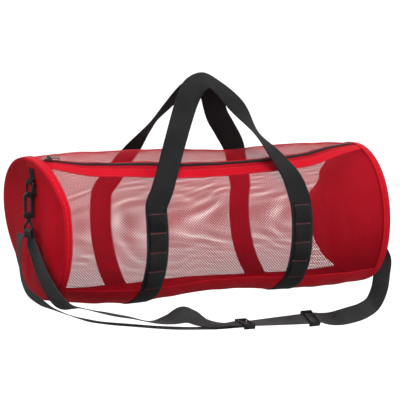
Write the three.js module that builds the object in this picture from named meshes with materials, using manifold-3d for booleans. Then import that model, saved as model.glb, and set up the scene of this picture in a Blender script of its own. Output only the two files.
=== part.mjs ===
// Mesh dive gear bag, hanging by its two handles. Millimetres, +Z up, +X along the bag.
// The near side is -Y. The origin is the grip, where the two handles meet above the bag.

import * as THREE from 'three';
import { mergeVertices } from 'three/addons/utils/BufferGeometryUtils.js';
import Module from 'manifold-3d';

const wasm = await Module();
wasm.setup();

// Driving dimensions of the bag body

const LENGTH = 762; // between the two end seams
const RADIUS = 152.5;
const BODY_SHIFT = 5; // the body hangs this far to the right of the grip
const CLEAR = 0.3; // between pieces that are sewn or seated together
const MESH_WALL = 1.5;
const BASE_WIDTH = 190;
const BASE_TURN = 171; // degrees from the top toward the near side, at the base's middle
const BASE_THICK = 1.5;
const BINDING_WIDTH = 13;
const BINDING_THICK = 2.5;
const PANEL_THICK = 2;
const PANEL_FLANGE = 3; // flat rim of an end panel, inside the seam
const LEFT_DOME = 15;
const RIGHT_SLUMP = 84;
const LEFT_LEAN = 30; // how far the left seam leans outward at its highest
const LEAN_TURN = -25; // degrees from the top, where that lean is greatest
const LEAN_REACH = 0.2; // share of the length that the lean fades over

// Zip along the top

const TAPE_THICK = 1.2;
const TAPE_NEAR = 15; // from the zip's line to the tape's near edge
const TAPE_FAR = 9;
const BAND_WIDTH = 23;
const COIL_WIDTH = 7;
const COIL_THICK = 2;
const SLIDER_LENGTH = 15;
const SLIDER_WIDTH = 11;
const SLIDER_THICK = 4;
const BRIDGE_WIRE = 2;
const BRIDGE_HEIGHT = 4.6;
const BRIDGE_ROOM = 0.9;
const LEG_SUNK = 1;
const PULL_LENGTH = 24;
const PULL_WIDTH = 8;
const PULL_THICK = 1.6;
const PULL_RIM = 1.5;

// Webbing and handles

const WEBBING_WIDTH = 50;
const WEBBING_THICK = 2;
const RING_SPACING = 342;
const RING_END = 72; // degrees from the top, where the webbing leaves the body
const DAISY_WIDTH = 38;
const DAISY_THICK = 1.5;
const DAISY_PITCH = 40;
const DAISY_LOOPS = 4;
const DAISY_BULGE = 3;
const GRIP_HEIGHT = 325; // above the body's axis

// End hardware, with heights above the body's axis

const RING_WIDTH = 34;
const RING_DROP = 31;
const RING_WIRE = 5;
const RING_TILT = 8;
const HOOK_CROWN = 82; // top of the hook's opening
const HOOK_WIDTH = 16; // between the centres of shank and gate
const HOOK_BAR = 7;
const HOOK_DEPTH = 9;
const HOOK_BASE_TOP = 46;
const HOOK_BASE_FOOT = 34;
const GATE_THICK = 4.5;
const GATE_DEPTH = 7;
const SWIVEL_PIN = 5;
const SWIVEL_COLLAR = 10;
const SWIVEL_FOOT = 6; // height of the bar that the strap hangs on
const SWIVEL_WIDTH = 46;
const SWIVEL_WIRE = 5;
const TAB_WIDTH = 26;
const TAB_SEWN = 20;
const HARDWARE_OUT = 12; // from the end panel to the hook's middle
const LEFT_HARDWARE_Y = -20;
const RIGHT_HARDWARE_Y = 0;

// Shoulder strap

const STRAP_WIDTH = 38;
const STRAP_THICK = 1.8;
const STRAP_DROP = 220; // of the lowest stretch, below the body's axis
const GLIDE_LENGTH = 27;
const GLIDE_BAR = 5;
const GLIDE_THICK = 2.4;
const GLIDE_RAIL = 4;
const GLIDE_ENTRY = 4;
const LAP_DROP = 12;
const LAP_FLARE = 0.4;
const LAP_SPLIT = 3;
const NOSE_DROP = 4;
const HARDWARE_BELOW_RIM = 152.5;
const RING_CORNER = 4;
const TAB_LEAD = 5;
const TAB_GAP = 0.5;
const BOW_SUNK = 4;
const PIN_LENGTH = 8;
const PIN_SUNK = 1;
const LOOP_SHOULDER = 8;
const LOOP_CHEEK = 9;
const ROOT_RISE = 14;
const ROOT_LEAN = 2.5;
const ROOT_TURN = 0.14;
const DAISY_START = 4;
const DAISY_GAP = 0.3;

// Colours

const RED_NET = 0xb3202a;
const RED_CLOTH = 0xc4121c;
const BLACK_WEBBING = 0x17181a;
const GREY_WEBBING = 0x2b2d31;
const BLACK_PLASTIC = 0x0f1012;
const GREY_METAL = 0x8d9096;

// The body's section, from the left seam to the right one. Each radius is a share of RADIUS.
const SECTIONS = [
  // share of length, top, near high, near, near low, bottom, far low, far, far high
  [0.00, 1.03, 1.03, 1.00, 0.99, 0.92, 0.93, 0.98, 1.01],
  [0.06, 1.06, 1.04, 1.00, 1.02, 0.97, 0.96, 0.98, 1.03],
  [0.15, 1.07, 1.03, 0.99, 1.07, 1.03, 1.00, 0.98, 1.04],
  [0.27, 1.07, 1.02, 1.00, 1.08, 1.05, 0.98, 0.99, 1.03],
  [0.45, 1.04, 1.00, 0.97, 1.02, 0.98, 0.97, 0.98, 1.02],
  [0.60, 1.00, 0.99, 0.98, 1.02, 0.98, 0.98, 0.98, 1.00],
  [0.72, 1.03, 1.01, 1.00, 1.07, 1.02, 0.99, 0.99, 1.01],
  [0.88, 1.04, 1.02, 0.99, 1.07, 1.04, 0.99, 0.97, 1.00],
  [1.00, 1.00, 1.00, 0.99, 1.03, 1.00, 0.97, 0.97, 0.98],
];

// Soft dents in the net. Sizes and depths are shares of LENGTH, degrees and shares of RADIUS.
const DENTS = [
  // share of length, angle, half length, half angle, depth
  [0.42, 62, 0.07, 24, 0.035],
  [0.40, 112, 0.06, 20, 0.03],
  [0.14, 88, 0.06, 34, 0.03],
  [0.60, 96, 0.06, 30, 0.025],
  [0.87, 70, 0.06, 26, 0.03],
  [0.50, 300, 0.12, 34, 0.04],
];

// The zip's line: degrees from the top toward the near side, along the length.
const ZIP_LINE = [
  // share of length, degrees
  [0.00, 10],
  [0.08, 22],
  [0.25, 27],
  [0.42, 30],
  [0.60, 28],
  [0.80, 24],
  [0.91, 13],
  [1.00, 3],
];

// Folds in the end panels. Places and sizes are shares of RADIUS, heights shares of the slump or dome.
const LEFT_FOLDS = [
  // y, z, half width, half height, height
  [-0.55, 0.10, 0.25, 0.70, 0.35],
  [0.10, -0.45, 0.50, 0.30, -0.40],
  [-0.35, -0.65, 0.35, 0.20, 0.40],
];
const RIGHT_FOLDS = [
  // y, z, half width, half height, height
  [0.55, 0.42, 0.40, 0.22, -0.22],
  [0.55, 0.10, 0.40, 0.25, 0.12],
  [-0.40, -0.20, 0.30, 0.50, -0.15],
];

// The handles' free stretches. Places are shares of RING_SPACING / 2, RADIUS and GRIP_HEIGHT,
// and the last three columns point across the webbing, from its outer to its inner edge.
const FRONT_HANDLE = [
  // x, y, z, across x, across y, across z
  [-0.905, -0.890, 0.262, 0.97, 0.00, -0.25],
  [-0.784, -0.772, 0.375, 0.92, -0.05, -0.39],
  [-0.591, -0.560, 0.554, 0.87, -0.10, -0.50],
  [-0.269, -0.262, 0.849, 0.80, -0.30, -0.52],
  [-0.129, -0.170, 0.925, 0.42, -0.68, -0.60],
  [0.030, -0.143, 0.950, 0.00, -0.78, -0.63],
  [0.193, -0.183, 0.893, -0.48, -0.70, -0.52],
  [0.380, -0.315, 0.778, -0.75, -0.50, -0.43],
  [0.579, -0.500, 0.600, -0.60, -0.78, 0.05],
  [0.749, -0.640, 0.475, -0.85, -0.45, 0.10],
  [0.925, -0.820, 0.320, -0.98, -0.10, 0.10],
];
const BACK_HANDLE = [
  // x, y, z, across x, across y, across z
  [-0.900, 0.890, 0.262, 0.97, 0.00, -0.20],
  [-0.819, 0.800, 0.350, 0.90, 0.20, -0.30],
  [-0.684, 0.640, 0.477, 0.80, 0.40, -0.30],
  [-0.561, 0.520, 0.588, 0.60, 0.70, -0.25],
  [-0.462, 0.425, 0.671, 0.50, 0.80, -0.20],
  [-0.287, 0.308, 0.790, 0.58, 0.70, -0.30],
  [-0.130, 0.185, 0.897, 0.33, 0.76, -0.56],
  [0.035, 0.143, 0.935, 0.00, 0.80, -0.60],
  [0.195, 0.190, 0.895, -0.40, 0.74, -0.54],
  [0.409, 0.390, 0.690, -0.85, 0.25, -0.45],
  [0.550, 0.490, 0.600, -0.92, 0.10, -0.38],
  [0.790, 0.690, 0.445, -0.95, 0.00, -0.30],
  [0.915, 0.870, 0.290, -0.98, 0.00, -0.15],
];

// The strap's plies. Places are shares of LENGTH / 2, RADIUS and STRAP_DROP, and the last three
// columns point across the strap, toward its near edge.
const OUTER_PLY = [
  // x, y, z, across x, across y, across z
  [-1.113, -0.145, 0.000, 0.00, -1.00, 0.00],
  [-1.134, -0.170, -0.077, -0.15, -0.97, 0.20],
  [-1.139, -0.223, -0.245, -0.25, -0.93, 0.27],
  [-1.139, -0.328, -0.423, -0.25, -0.90, 0.35],
  [-1.121, -0.446, -0.527, -0.15, -0.90, 0.40],
  [-1.068, -0.557, -0.614, 0.00, -0.95, 0.30],
  [-1.010, -0.623, -0.677, 0.00, -1.00, 0.10],
  [-0.869, -0.721, -0.777, 0.00, -1.00, 0.00],
  [-0.743, -0.754, -0.832, 0.00, -1.00, 0.00],
  [-0.572, -0.734, -0.882, 0.00, -1.00, 0.00],
  [-0.312, -0.656, -0.955, 0.00, -1.00, 0.00],
  [-0.053, -0.610, -0.997, 0.00, -1.00, 0.00],
];
const INNER_PLY = [
  // x, y, z, across x, across y, across z
  [-1.0612, -0.157, -0.077, 0.05, -0.97, 0.20],
  [-1.0604, -0.249, -0.150, 0.10, -0.80, 0.58],
  [-1.0564, -0.498, -0.327, 0.15, -0.72, 0.66],
  [-1.042, -0.669, -0.455, 0.20, -0.74, 0.62],
  [-1.010, -0.820, -0.573, 0.25, -0.80, 0.50],
  [-0.962, -0.960, -0.618, 0.15, -0.95, 0.20],
  [-0.906, -1.040, -0.640, 0.00, -1.00, 0.10],
  [-0.787, -1.023, -0.700, 0.00, -1.00, 0.00],
  [-0.591, -0.866, -0.791, 0.00, -1.00, 0.00],
  [-0.420, -0.774, -0.873, 0.00, -1.00, 0.00],
  [-0.310, -0.695, -0.868, 0.00, -0.90, -0.40],
  [-0.223, -0.662, -0.836, 0.00, -0.50, -0.85],
  [-0.150, -0.649, -0.882, 0.00, -0.60, -0.80],
  [-0.052, -0.630, -0.950, 0.00, -0.95, -0.30],
  [0.066, -0.597, -0.980, 0.00, -1.00, 0.00],
];
const RIGHT_STRETCH = [
  // x, y, z, across x, across y, across z
  [0.690, -0.500, -1.018, 0.00, -0.85, -0.50],
  [0.769, -0.472, -1.035, 0.00, -0.75, -0.65],
  [0.884, -0.433, -1.020, 0.10, -0.42, -0.90],
  [0.983, -0.407, -0.988, 0.22, -0.28, -0.93],
  [1.056, -0.380, -0.925, 0.46, -0.36, -0.81],
  [1.100, -0.374, -0.787, 0.82, -0.42, -0.37],
  [1.115, -0.380, -0.613, 0.88, -0.45, -0.10],
  [1.130, -0.341, -0.463, 0.62, -0.78, 0.00],
  [1.085, -0.262, -0.290, 0.30, -0.95, 0.00],
  [1.015, -0.140, -0.165, 0.10, -1.00, 0.00],
  [0.945, -0.035, -0.080, 0.00, -1.00, 0.00],
];

// The two strap sliders, with their places and directions in the same shares
const LEFT_GLIDE = { at: [0.174, -0.577, -0.992], along: [1, 0.03, -0.02], across: [0, -0.99, -0.12] };
const RIGHT_GLIDE = { at: [0.604, -0.538, -1.000], along: [1, 0.06, 0.0], across: [0, -0.9, -0.43] };

const degrees = THREE.MathUtils.degToRad;
const leftSeam = BODY_SHIFT - LENGTH / 2;
const rightSeam = BODY_SHIFT + LENGTH / 2;
const ringHalf = WEBBING_WIDTH / 2;

const bag = new THREE.Group();
bag.position.z = -GRIP_HEIGHT;

// Small helpers for points, solids and booleans

function vector(x, y, z) {
  return new THREE.Vector3(x, y, z);
}

// Values from the first number to the last, with whole steps between: [0, 2, 10, 1, 12] is 0, 5, 10, 12.
function stations(plan) {
  const values = [plan[0]];
  for (let i = 1; i < plan.length; i += 2) {
    const from = plan[i - 1];
    const to = plan[i + 1];
    for (let step = 1; step <= plan[i]; step += 1) {
      values.push(from + (to - from) * step / plan[i]);
    }
  }
  return values;
}

function tableReader(table) {
  const shares = table.map((row) => row[0]);
  const columns = table[0].length - 1;
  const values = table.flatMap((row) => row.slice(1));
  return new THREE.CubicInterpolant(shares, values, columns, new Float32Array(columns));
}

function addTriangle(list, a, b, c) {
  const least = 1e-6;
  if (a.distanceTo(b) < least || b.distanceTo(c) < least || c.distanceTo(a) < least) {
    return;
  }
  list.push(a.x, a.y, a.z, b.x, b.y, b.z, c.x, c.y, c.z);
}

function addQuad(list, a, b, c, d) {
  addTriangle(list, a, b, c);
  addTriangle(list, a, c, d);
}

function volumeOf(list) {
  let sum = 0;
  const a = vector(0, 0, 0);
  const b = vector(0, 0, 0);
  const c = vector(0, 0, 0);
  for (let i = 0; i < list.length; i += 9) {
    a.fromArray(list, i);
    b.fromArray(list, i + 3);
    c.fromArray(list, i + 6);
    sum += a.dot(b.cross(c)) / 6;
  }
  return sum;
}

// A closed body from loose triangles, turned so that its faces point outward
function solid(list) {
  const inward = volumeOf(list) < 0;
  const points = [];
  for (let i = 0; i < list.length; i += 9) {
    const corners = [list.slice(i, i + 3), list.slice(i + 3, i + 6), list.slice(i + 6, i + 9)];
    if (inward) {
      corners.reverse();
    }
    points.push(...corners.flat());
  }
  const geometry = new THREE.BufferGeometry();
  geometry.setAttribute('position', new THREE.Float32BufferAttribute(points, 3));
  return mergeVertices(geometry, 1e-4);
}

// A wall between two matching grids of points; a closed wall joins its last column to its first
function wall(outer, inner, closed) {
  const list = [];
  const rows = outer.length;
  const columns = outer[0].length;
  const last = closed ? columns : columns - 1;
  for (let r = 0; r < rows - 1; r += 1) {
    for (let c = 0; c < last; c += 1) {
      const d = (c + 1) % columns;
      addQuad(list, outer[r][c], outer[r][d], outer[r + 1][d], outer[r + 1][c]);
      addQuad(list, inner[r][c], inner[r + 1][c], inner[r + 1][d], inner[r][d]);
    }
  }
  for (let c = 0; c < last; c += 1) {
    const d = (c + 1) % columns;
    addQuad(list, outer[0][d], outer[0][c], inner[0][c], inner[0][d]);
    const end = rows - 1;
    addQuad(list, outer[end][c], outer[end][d], inner[end][d], inner[end][c]);
  }
  if (!closed) {
    for (let r = 0; r < rows - 1; r += 1) {
      const end = columns - 1;
      addQuad(list, outer[r][0], outer[r + 1][0], inner[r + 1][0], inner[r][0]);
      addQuad(list, outer[r + 1][end], outer[r][end], inner[r][end], inner[r + 1][end]);
    }
  }
  return solid(list);
}

// Loops of points joined one to the next. An open run gets flat ends, a closed one meets itself.
function loft(loops, closed) {
  const list = [];
  const count = loops[0].length;
  const last = closed ? loops.length : loops.length - 1;
  for (let i = 0; i < last; i += 1) {
    const here = loops[i];
    const next = loops[(i + 1) % loops.length];
    for (let j = 0; j < count; j += 1) {
      const k = (j + 1) % count;
      // Opposite sides are split the same way, so a thin twisted strip keeps its thickness
      if (j < count / 2) {
        addQuad(list, here[j], here[k], next[k], next[j]);
      } else {
        addQuad(list, here[k], next[k], next[j], here[j]);
      }
    }
  }
  if (!closed) {
    const first = loops[0];
    const end = loops[loops.length - 1];
    for (let j = 1; j < count - 1; j += 1) {
      addTriangle(list, first[0], first[j + 1], first[j]);
      addTriangle(list, end[0], end[j], end[j + 1]);
    }
  }
  return solid(list);
}

function toManifold(geometry) {
  const bare = geometry.clone();
  bare.deleteAttribute('normal');
  bare.deleteAttribute('uv');
  const merged = mergeVertices(bare, 1e-4);
  const mesh = new wasm.Mesh({
    numProp: 3,
    vertProperties: new Float32Array(merged.attributes.position.array),
    triVerts: new Uint32Array(merged.index.array),
  });
  return new wasm.Manifold(mesh);
}

function fromManifold(body) {
  const mesh = body.getMesh();
  const geometry = new THREE.BufferGeometry();
  geometry.setAttribute('position', new THREE.BufferAttribute(new Float32Array(mesh.vertProperties), 3));
  geometry.setIndex(new THREE.BufferAttribute(new Uint32Array(mesh.triVerts), 1));
  return geometry;
}

function joined(...geometries) {
  return fromManifold(geometries.map(toManifold).reduce((sum, next) => sum.add(next)));
}

function cut(geometry, ...tools) {
  const whole = toManifold(geometry);
  return fromManifold(tools.map(toManifold).reduce((sum, next) => sum.subtract(next), whole));
}

function boxAt(width, depth, height, x, y, z) {
  return new THREE.BoxGeometry(width, depth, height).translate(x, y, z);
}

function uprightCylinder(radius, height, sides, x, y, z) {
  return new THREE.CylinderGeometry(radius, radius, height, sides).rotateX(Math.PI / 2).translate(x, y, z);
}

function finish(color, roughness, metalness) {
  return new THREE.MeshStandardMaterial({ color, roughness, metalness });
}

function addPiece(name, geometry, material, parent = bag) {
  const piece = new THREE.Mesh(geometry, material);
  piece.name = name;
  parent.add(piece);
  return piece;
}

// The body's surface

const sectionAt = tableReader(SECTIONS);
const zipAt = tableReader(ZIP_LINE);

function cubicBetween(before, from, to, after, t) {
  const slopeFrom = (to - before) / 2;
  const slopeTo = (after - from) / 2;
  const t2 = t * t;
  const t3 = t2 * t;
  const startWeight = 2 * t3 - 3 * t2 + 1;
  const endWeight = 3 * t2 - 2 * t3;
  return startWeight * from + (t3 - 2 * t2 + t) * slopeFrom + endWeight * to + (t3 - t2) * slopeTo;
}

function softBump(distance) {
  return distance < 1 ? (1 - distance ** 2) ** 2 : 0;
}

function bodyRadius(share, angle) {
  const row = Array.from(sectionAt.evaluate(share));
  const places = row.length;
  const turn = THREE.MathUtils.euclideanModulo(angle, 360) / 360 * places;
  const index = Math.floor(turn) % places;
  const pick = (step) => row[(index + step + places) % places];
  let radius = cubicBetween(pick(-1), pick(0), pick(1), pick(2), turn - Math.floor(turn));
  for (const [dentShare, dentAngle, halfLength, halfAngle, depth] of DENTS) {
    const alongLength = (share - dentShare) / halfLength;
    const around = (THREE.MathUtils.euclideanModulo(angle - dentAngle + 180, 360) - 180) / halfAngle;
    radius -= depth * softBump(Math.hypot(alongLength, around));
  }
  return radius * RADIUS;
}

// A point on the body: share of the length, degrees from the top toward the near side, height above it
function bodyPoint(share, angle, height) {
  const fade = Math.max(0, 1 - share / LEAN_REACH) ** 2;
  const lean = LEFT_LEAN * fade * Math.max(0, Math.cos(degrees(angle - LEAN_TURN)));
  const radius = bodyRadius(share, angle) + height;
  const x = leftSeam + share * LENGTH - lean;
  return vector(x, -radius * Math.sin(degrees(angle)), radius * Math.cos(degrees(angle)));
}

function arc(length) {
  return THREE.MathUtils.radToDeg(length / RADIUS);
}

function zipAngle(share) {
  return zipAt.evaluate(share)[0];
}

// Stations that every sewn layer shares, so that its facets lie parallel to those below it

const leftRing = -RING_SPACING / 2 - leftSeam;
const rightRing = RING_SPACING / 2 - leftSeam;
const lengthStations = stations([
  0, 1, BINDING_WIDTH,
  5, leftRing - ringHalf, 2, leftRing + ringHalf,
  7, rightRing - ringHalf, 2, rightRing + ringHalf,
  5, LENGTH - BINDING_WIDTH, 1, LENGTH,
]).map((length) => length / LENGTH);
const LEFT_RING_START = 6;
const RIGHT_RING_START = 15;
const RING_STEPS = 2;
const LAST_STATION = lengthStations.length - 1;

const baseNear = BASE_TURN - arc(BASE_WIDTH / 2);
const baseFar = BASE_TURN + arc(BASE_WIDTH / 2);
const RING_NEAR_COLUMN = 4;
const BASE_NEAR_COLUMN = 11;
const BASE_FAR_COLUMN = 19;
const RING_FAR_COLUMN = 28;

function netAngles(share) {
  const zip = zipAngle(share);
  const nearEdge = zip + arc(TAPE_NEAR + BAND_WIDTH + 2 * CLEAR);
  const farEdge = 360 + zip - arc(TAPE_FAR + CLEAR);
  return stations([
    nearEdge, 4, RING_END, 7, baseNear, 8, baseFar, 9, 360 - RING_END, 8, farEdge,
  ]);
}

// A grid of body points. Ends cut short lie on the straight line between two stations.
function bodyGrid(shares, angles, height) {
  return shares.map((share) => angles(share).map((angle, column) => (
    bodyPoint(share, angle, typeof height === 'function' ? height(column) : height)
  )));
}

// Moves the first and last rows of a grid toward their neighbours by a set distance
function shortened(grid, distance) {
  const rows = grid.map((row) => row.map((point) => point.clone()));
  const end = rows.length - 1;
  for (let c = 0; c < rows[0].length; c += 1) {
    const inFirst = grid[1][c].clone().sub(grid[0][c]).setLength(distance);
    const inLast = grid[end - 1][c].clone().sub(grid[end][c]).setLength(distance);
    rows[0][c].add(inFirst);
    rows[end][c].add(inLast);
  }
  return rows;
}

const redNet = finish(RED_NET, 0.7, 0);
const redCloth = finish(RED_CLOTH, 0.55, 0);
const webbing = finish(BLACK_WEBBING, 0.85, 0);
const greyWebbing = finish(GREY_WEBBING, 0.85, 0);
const plastic = finish(BLACK_PLASTIC, 0.4, 0);
const metal = finish(GREY_METAL, 0.35, 0.9);

// Net body: one wall round the bag, open along the zip

function buildMeshBody() {
  const outer = bodyGrid(lengthStations, netAngles, 0);
  const inner = bodyGrid(lengthStations, netAngles, -MESH_WALL);
  addPiece('mesh_body', wall(outer, inner, false), redNet);
}

// Base panel, sewn under the net between the two bindings

function buildBasePanel() {
  const shares = lengthStations.slice(1, LAST_STATION);
  const angles = (share) => netAngles(share).slice(BASE_NEAR_COLUMN, BASE_FAR_COLUMN + 1);
  const outer = shortened(bodyGrid(shares, angles, CLEAR + BASE_THICK), CLEAR);
  const inner = shortened(bodyGrid(shares, angles, CLEAR), CLEAR);
  addPiece('base_panel', wall(outer, inner, false), redCloth);
}

// Bindings over the two round seams

function rimAngles(share) {
  const net = netAngles(share);
  const gap = stations([net[net.length - 1], 4, net[0] + 360]);
  return [...net, ...gap.slice(1, -1)];
}

function buildBinding(name, shares) {
  const outer = bodyGrid(shares, rimAngles, CLEAR + BINDING_THICK);
  const inner = bodyGrid(shares, rimAngles, CLEAR);
  addPiece(name, wall(outer, inner, true), redCloth);
}

// End panels: a flat rim over the seam and the binding, then a dome or a slump

function foldHeight(folds, y, z) {
  let height = 0;
  for (const [foldY, foldZ, halfWidth, halfHeight, share] of folds) {
    const across = (y / RADIUS - foldY) / halfWidth;
    const up = (z / RADIUS - foldZ) / halfHeight;
    height += share * softBump(Math.hypot(across, up));
  }
  return height;
}

// Rows of an end panel, from its rim to its middle, as shares of the rim's radius
const PANEL_REACHES = [1, 0.94, 0.86, 0.75, 0.6, 0.4, 0.2, 0];

// How far the panel's inner face stands out of the seam's plane, at a share of the rim's radius
function panelOut(side, reach, angle, y, z) {
  if (side < 0) {
    const rim = leftSeam - bodyPoint(0, angle, 0).x;
    const dome = LEFT_DOME * (1 - reach ** 2);
    return CLEAR + rim * reach ** 3 + dome + LEFT_DOME * foldHeight(LEFT_FOLDS, y, z) * (1 - reach ** 4);
  }
  const slump = 1 - reach ** 4;
  return CLEAR - RIGHT_SLUMP * slump * (1 + foldHeight(RIGHT_FOLDS, y, z));
}

function panelPoint(side, reach, angle, flange) {
  const share = side < 0 ? 0 : 1;
  const seam = side < 0 ? leftSeam : rightSeam;
  const flat = bodyRadius(share, angle) - PANEL_FLANGE;
  const radius = flange === undefined ? flat * reach : flange;
  const y = -radius * Math.sin(degrees(angle));
  const z = radius * Math.cos(degrees(angle));
  return vector(seam + side * panelOut(side, Math.min(reach, 1), angle, y, z), y, z);
}

function buildEndPanel(name, side) {
  const share = side < 0 ? 0 : 1;
  const angles = rimAngles(share);
  const rim = angles.map((angle) => (
    panelPoint(side, 1, angle, bodyRadius(share, angle) + CLEAR + BINDING_THICK)
  ));
  const rows = PANEL_REACHES.map((reach) => angles.map((angle) => panelPoint(side, reach, angle)));
  const inside = [rim, ...rows];
  const outside = inside.map((row) => row.map((point) => (
    point.clone().add(vector(side * PANEL_THICK, 0, 0))
  )));
  addPiece(name, wall(outside, inside, true), redCloth);
}

// The end panel's outer face at a height and a sideways place
function panelFaceX(side, y, z) {
  const angle = THREE.MathUtils.radToDeg(Math.atan2(-y, z));
  const share = side < 0 ? 0 : 1;
  const reach = Math.hypot(y, z) / (bodyRadius(share, angle) - PANEL_FLANGE);
  const row = PANEL_REACHES.findIndex((edge) => edge <= reach);
  const [outer, inner] = [PANEL_REACHES[row - 1], PANEL_REACHES[row]];
  const weight = (reach - inner) / (outer - inner);
  const from = panelPoint(side, inner, angle).x;
  const to = panelPoint(side, outer, angle).x;
  return from + (to - from) * weight + side * PANEL_THICK;
}

// Zip: tape, coil and the red band along its near side

const zipShares = lengthStations.slice(1, LAST_STATION);

function zipStrip(name, from, to, foot, top, material, cuts = []) {
  const places = [from, ...cuts, to];
  const angles = (share) => places.map((place) => zipAngle(share) + arc(place));
  const outer = shortened(bodyGrid(zipShares, angles, top), CLEAR);
  const inner = shortened(bodyGrid(zipShares, angles, foot), CLEAR);
  addPiece(name, wall(outer, inner, false), material);
}

function buildZip() {
  const coil = COIL_WIDTH / 2;
  zipStrip('zip_tape', -TAPE_FAR, TAPE_NEAR, -TAPE_THICK, 0, webbing, [-coil, coil]);
  zipStrip('zip_chain', -coil, coil, CLEAR, CLEAR + COIL_THICK, webbing);
  const bandStart = TAPE_NEAR + CLEAR;
  zipStrip('zip_band_near', bandStart, bandStart + BAND_WIDTH, -TAPE_THICK, 0, redCloth);
}

// Zip slider and pull, in a frame with x along the zip, y across it and z out of the bag

function frameOnZip(share) {
  const step = 0.01;
  const here = bodyPoint(share, zipAngle(share), 0);
  const next = bodyPoint(share + step, zipAngle(share + step), 0);
  const beside = bodyPoint(share, zipAngle(share) - 1, 0);
  const along = next.sub(here).normalize();
  const out = along.clone().cross(beside.sub(here)).normalize();
  const across = out.clone().cross(along).normalize();
  const frame = new THREE.Group();
  frame.applyMatrix4(new THREE.Matrix4().makeBasis(along, across, out));
  frame.position.copy(here);
  return frame;
}

function buildZipSlider() {
  const share = (BINDING_WIDTH + SLIDER_LENGTH / 2 + 2) / LENGTH;
  const frame = frameOnZip(share);
  const foot = COIL_THICK + 3 * CLEAR;
  const top = foot + SLIDER_THICK;
  const body = boxAt(SLIDER_LENGTH, SLIDER_WIDTH, SLIDER_THICK, 0, 0, foot + SLIDER_THICK / 2);
  const legX = PULL_THICK / 2 + BRIDGE_ROOM + BRIDGE_WIRE / 2;
  const legHeight = BRIDGE_HEIGHT + LEG_SUNK;
  const legMiddle = top - LEG_SUNK + legHeight / 2;
  const leg = (end) => boxAt(BRIDGE_WIRE, BRIDGE_WIRE, legHeight, end * legX, 0, legMiddle);
  const bridgeLength = 2 * legX + BRIDGE_WIRE;
  const bridge = boxAt(bridgeLength, BRIDGE_WIRE, BRIDGE_WIRE, 0, 0, top + BRIDGE_HEIGHT - BRIDGE_WIRE / 2);
  addPiece('zip_slider', joined(body, leg(-1), leg(1), bridge), metal, frame);

  // The pull's cross bar lies under the bridge, with one leg of the bridge through the pull's eye
  const eye = BRIDGE_WIRE + 3 * BRIDGE_ROOM;
  const plate = boxAt(PULL_LENGTH, PULL_WIDTH, PULL_THICK, PULL_LENGTH / 2 - PULL_THICK / 2, 0, 0);
  const hole = boxAt(eye, PULL_WIDTH - 2 * PULL_RIM, PULL_THICK * 2, PULL_THICK / 2 + eye / 2, 0, 0);
  const pull = cut(plate, hole).translate(0, 0, top + 2 * CLEAR + PULL_THICK / 2);
  addPiece('zip_pull', pull, metal, frame);
  bag.add(frame);
}

// Webbing rings: sewn from the near side under the base to the far side

function ringHeight(column) {
  const overBase = column >= BASE_NEAR_COLUMN && column <= BASE_FAR_COLUMN;
  return overBase ? 2 * CLEAR + BASE_THICK : CLEAR;
}

function ringColumns(share) {
  return netAngles(share).slice(RING_NEAR_COLUMN, RING_FAR_COLUMN + 1);
}

function buildRing(name, start) {
  const shares = lengthStations.slice(start, start + RING_STEPS + 1);
  const seat = (column) => ringHeight(column + RING_NEAR_COLUMN);
  const outer = bodyGrid(shares, ringColumns, (column) => seat(column) + WEBBING_THICK);
  const inner = bodyGrid(shares, ringColumns, seat);
  addPiece(name, wall(outer, inner, false), webbing);
}

// Daisy chain: a narrower webbing tacked down at even steps, standing off a little between the tacks

function buildDaisyChain(name, x) {
  const share = (x - leftSeam) / LENGTH;
  const startAngle = RING_END + arc(DAISY_START);
  const perLoop = 4;
  const steps = DAISY_LOOPS * perLoop;
  const loops = [];
  for (let i = 0; i <= steps; i += 1) {
    const along = i / steps;
    const angle = startAngle + arc(DAISY_PITCH) * DAISY_LOOPS * along;
    const bulge = DAISY_BULGE * Math.abs(Math.sin(Math.PI * i / perLoop));
    const onBase = THREE.MathUtils.smoothstep(angle, baseNear - arc(DAISY_PITCH), baseNear - 2);
    const seat = 2 * CLEAR + WEBBING_THICK + onBase * (CLEAR + BASE_THICK) + DAISY_GAP + bulge;
    const half = DAISY_WIDTH / 2 / LENGTH;
    loops.push([
      bodyPoint(share - half, angle, seat),
      bodyPoint(share + half, angle, seat),
      bodyPoint(share + half, angle, seat + DAISY_THICK),
      bodyPoint(share - half, angle, seat + DAISY_THICK),
    ]);
  }
  addPiece(name, loft(loops, false), webbing);
}

// Ribbons: a flat strip along a route, each place with its own direction across the strip

function smoothRoute(places, stepsEach) {
  const middle = new THREE.CatmullRomCurve3(places.map((place) => place.at), false, 'centripetal');
  const across = new THREE.CatmullRomCurve3(places.map((place) => place.across), false, 'centripetal');
  const count = (places.length - 1) * stepsEach;
  const route = [];
  for (let i = 0; i <= count; i += 1) {
    route.push({ at: middle.getPoint(i / count), across: across.getPoint(i / count).normalize() });
  }
  route[0].along = places[0].along;
  route[count].along = places[places.length - 1].along;
  return route;
}

function ribbon(route, width, thickness) {
  const loops = route.map((place, i) => {
    const before = route[Math.max(0, i - 1)].at;
    const after = route[Math.min(route.length - 1, i + 1)].at;
    const along = place.along ? place.along.clone() : after.clone().sub(before);
    along.normalize();
    const across = place.across.clone().addScaledVector(along, -along.dot(place.across)).normalize();
    const up = along.clone().cross(across);
    const corner = (side, face) => place.at.clone()
      .addScaledVector(across, side * width / 2)
      .addScaledVector(up, face * thickness / 2);
    return [corner(-1, -1), corner(1, -1), corner(1, 1), corner(-1, 1)];
  });
  return loft(loops, false);
}

function routePlaces(table, unitX, unitY, unitZ) {
  return table.map(([x, y, z, acrossX, acrossY, acrossZ]) => ({
    at: vector(x * unitX, y * unitY, z * unitZ),
    across: vector(acrossX, acrossY, acrossZ).normalize(),
  }));
}

// Handles: from one ring's end to the other's, over the grip

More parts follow.
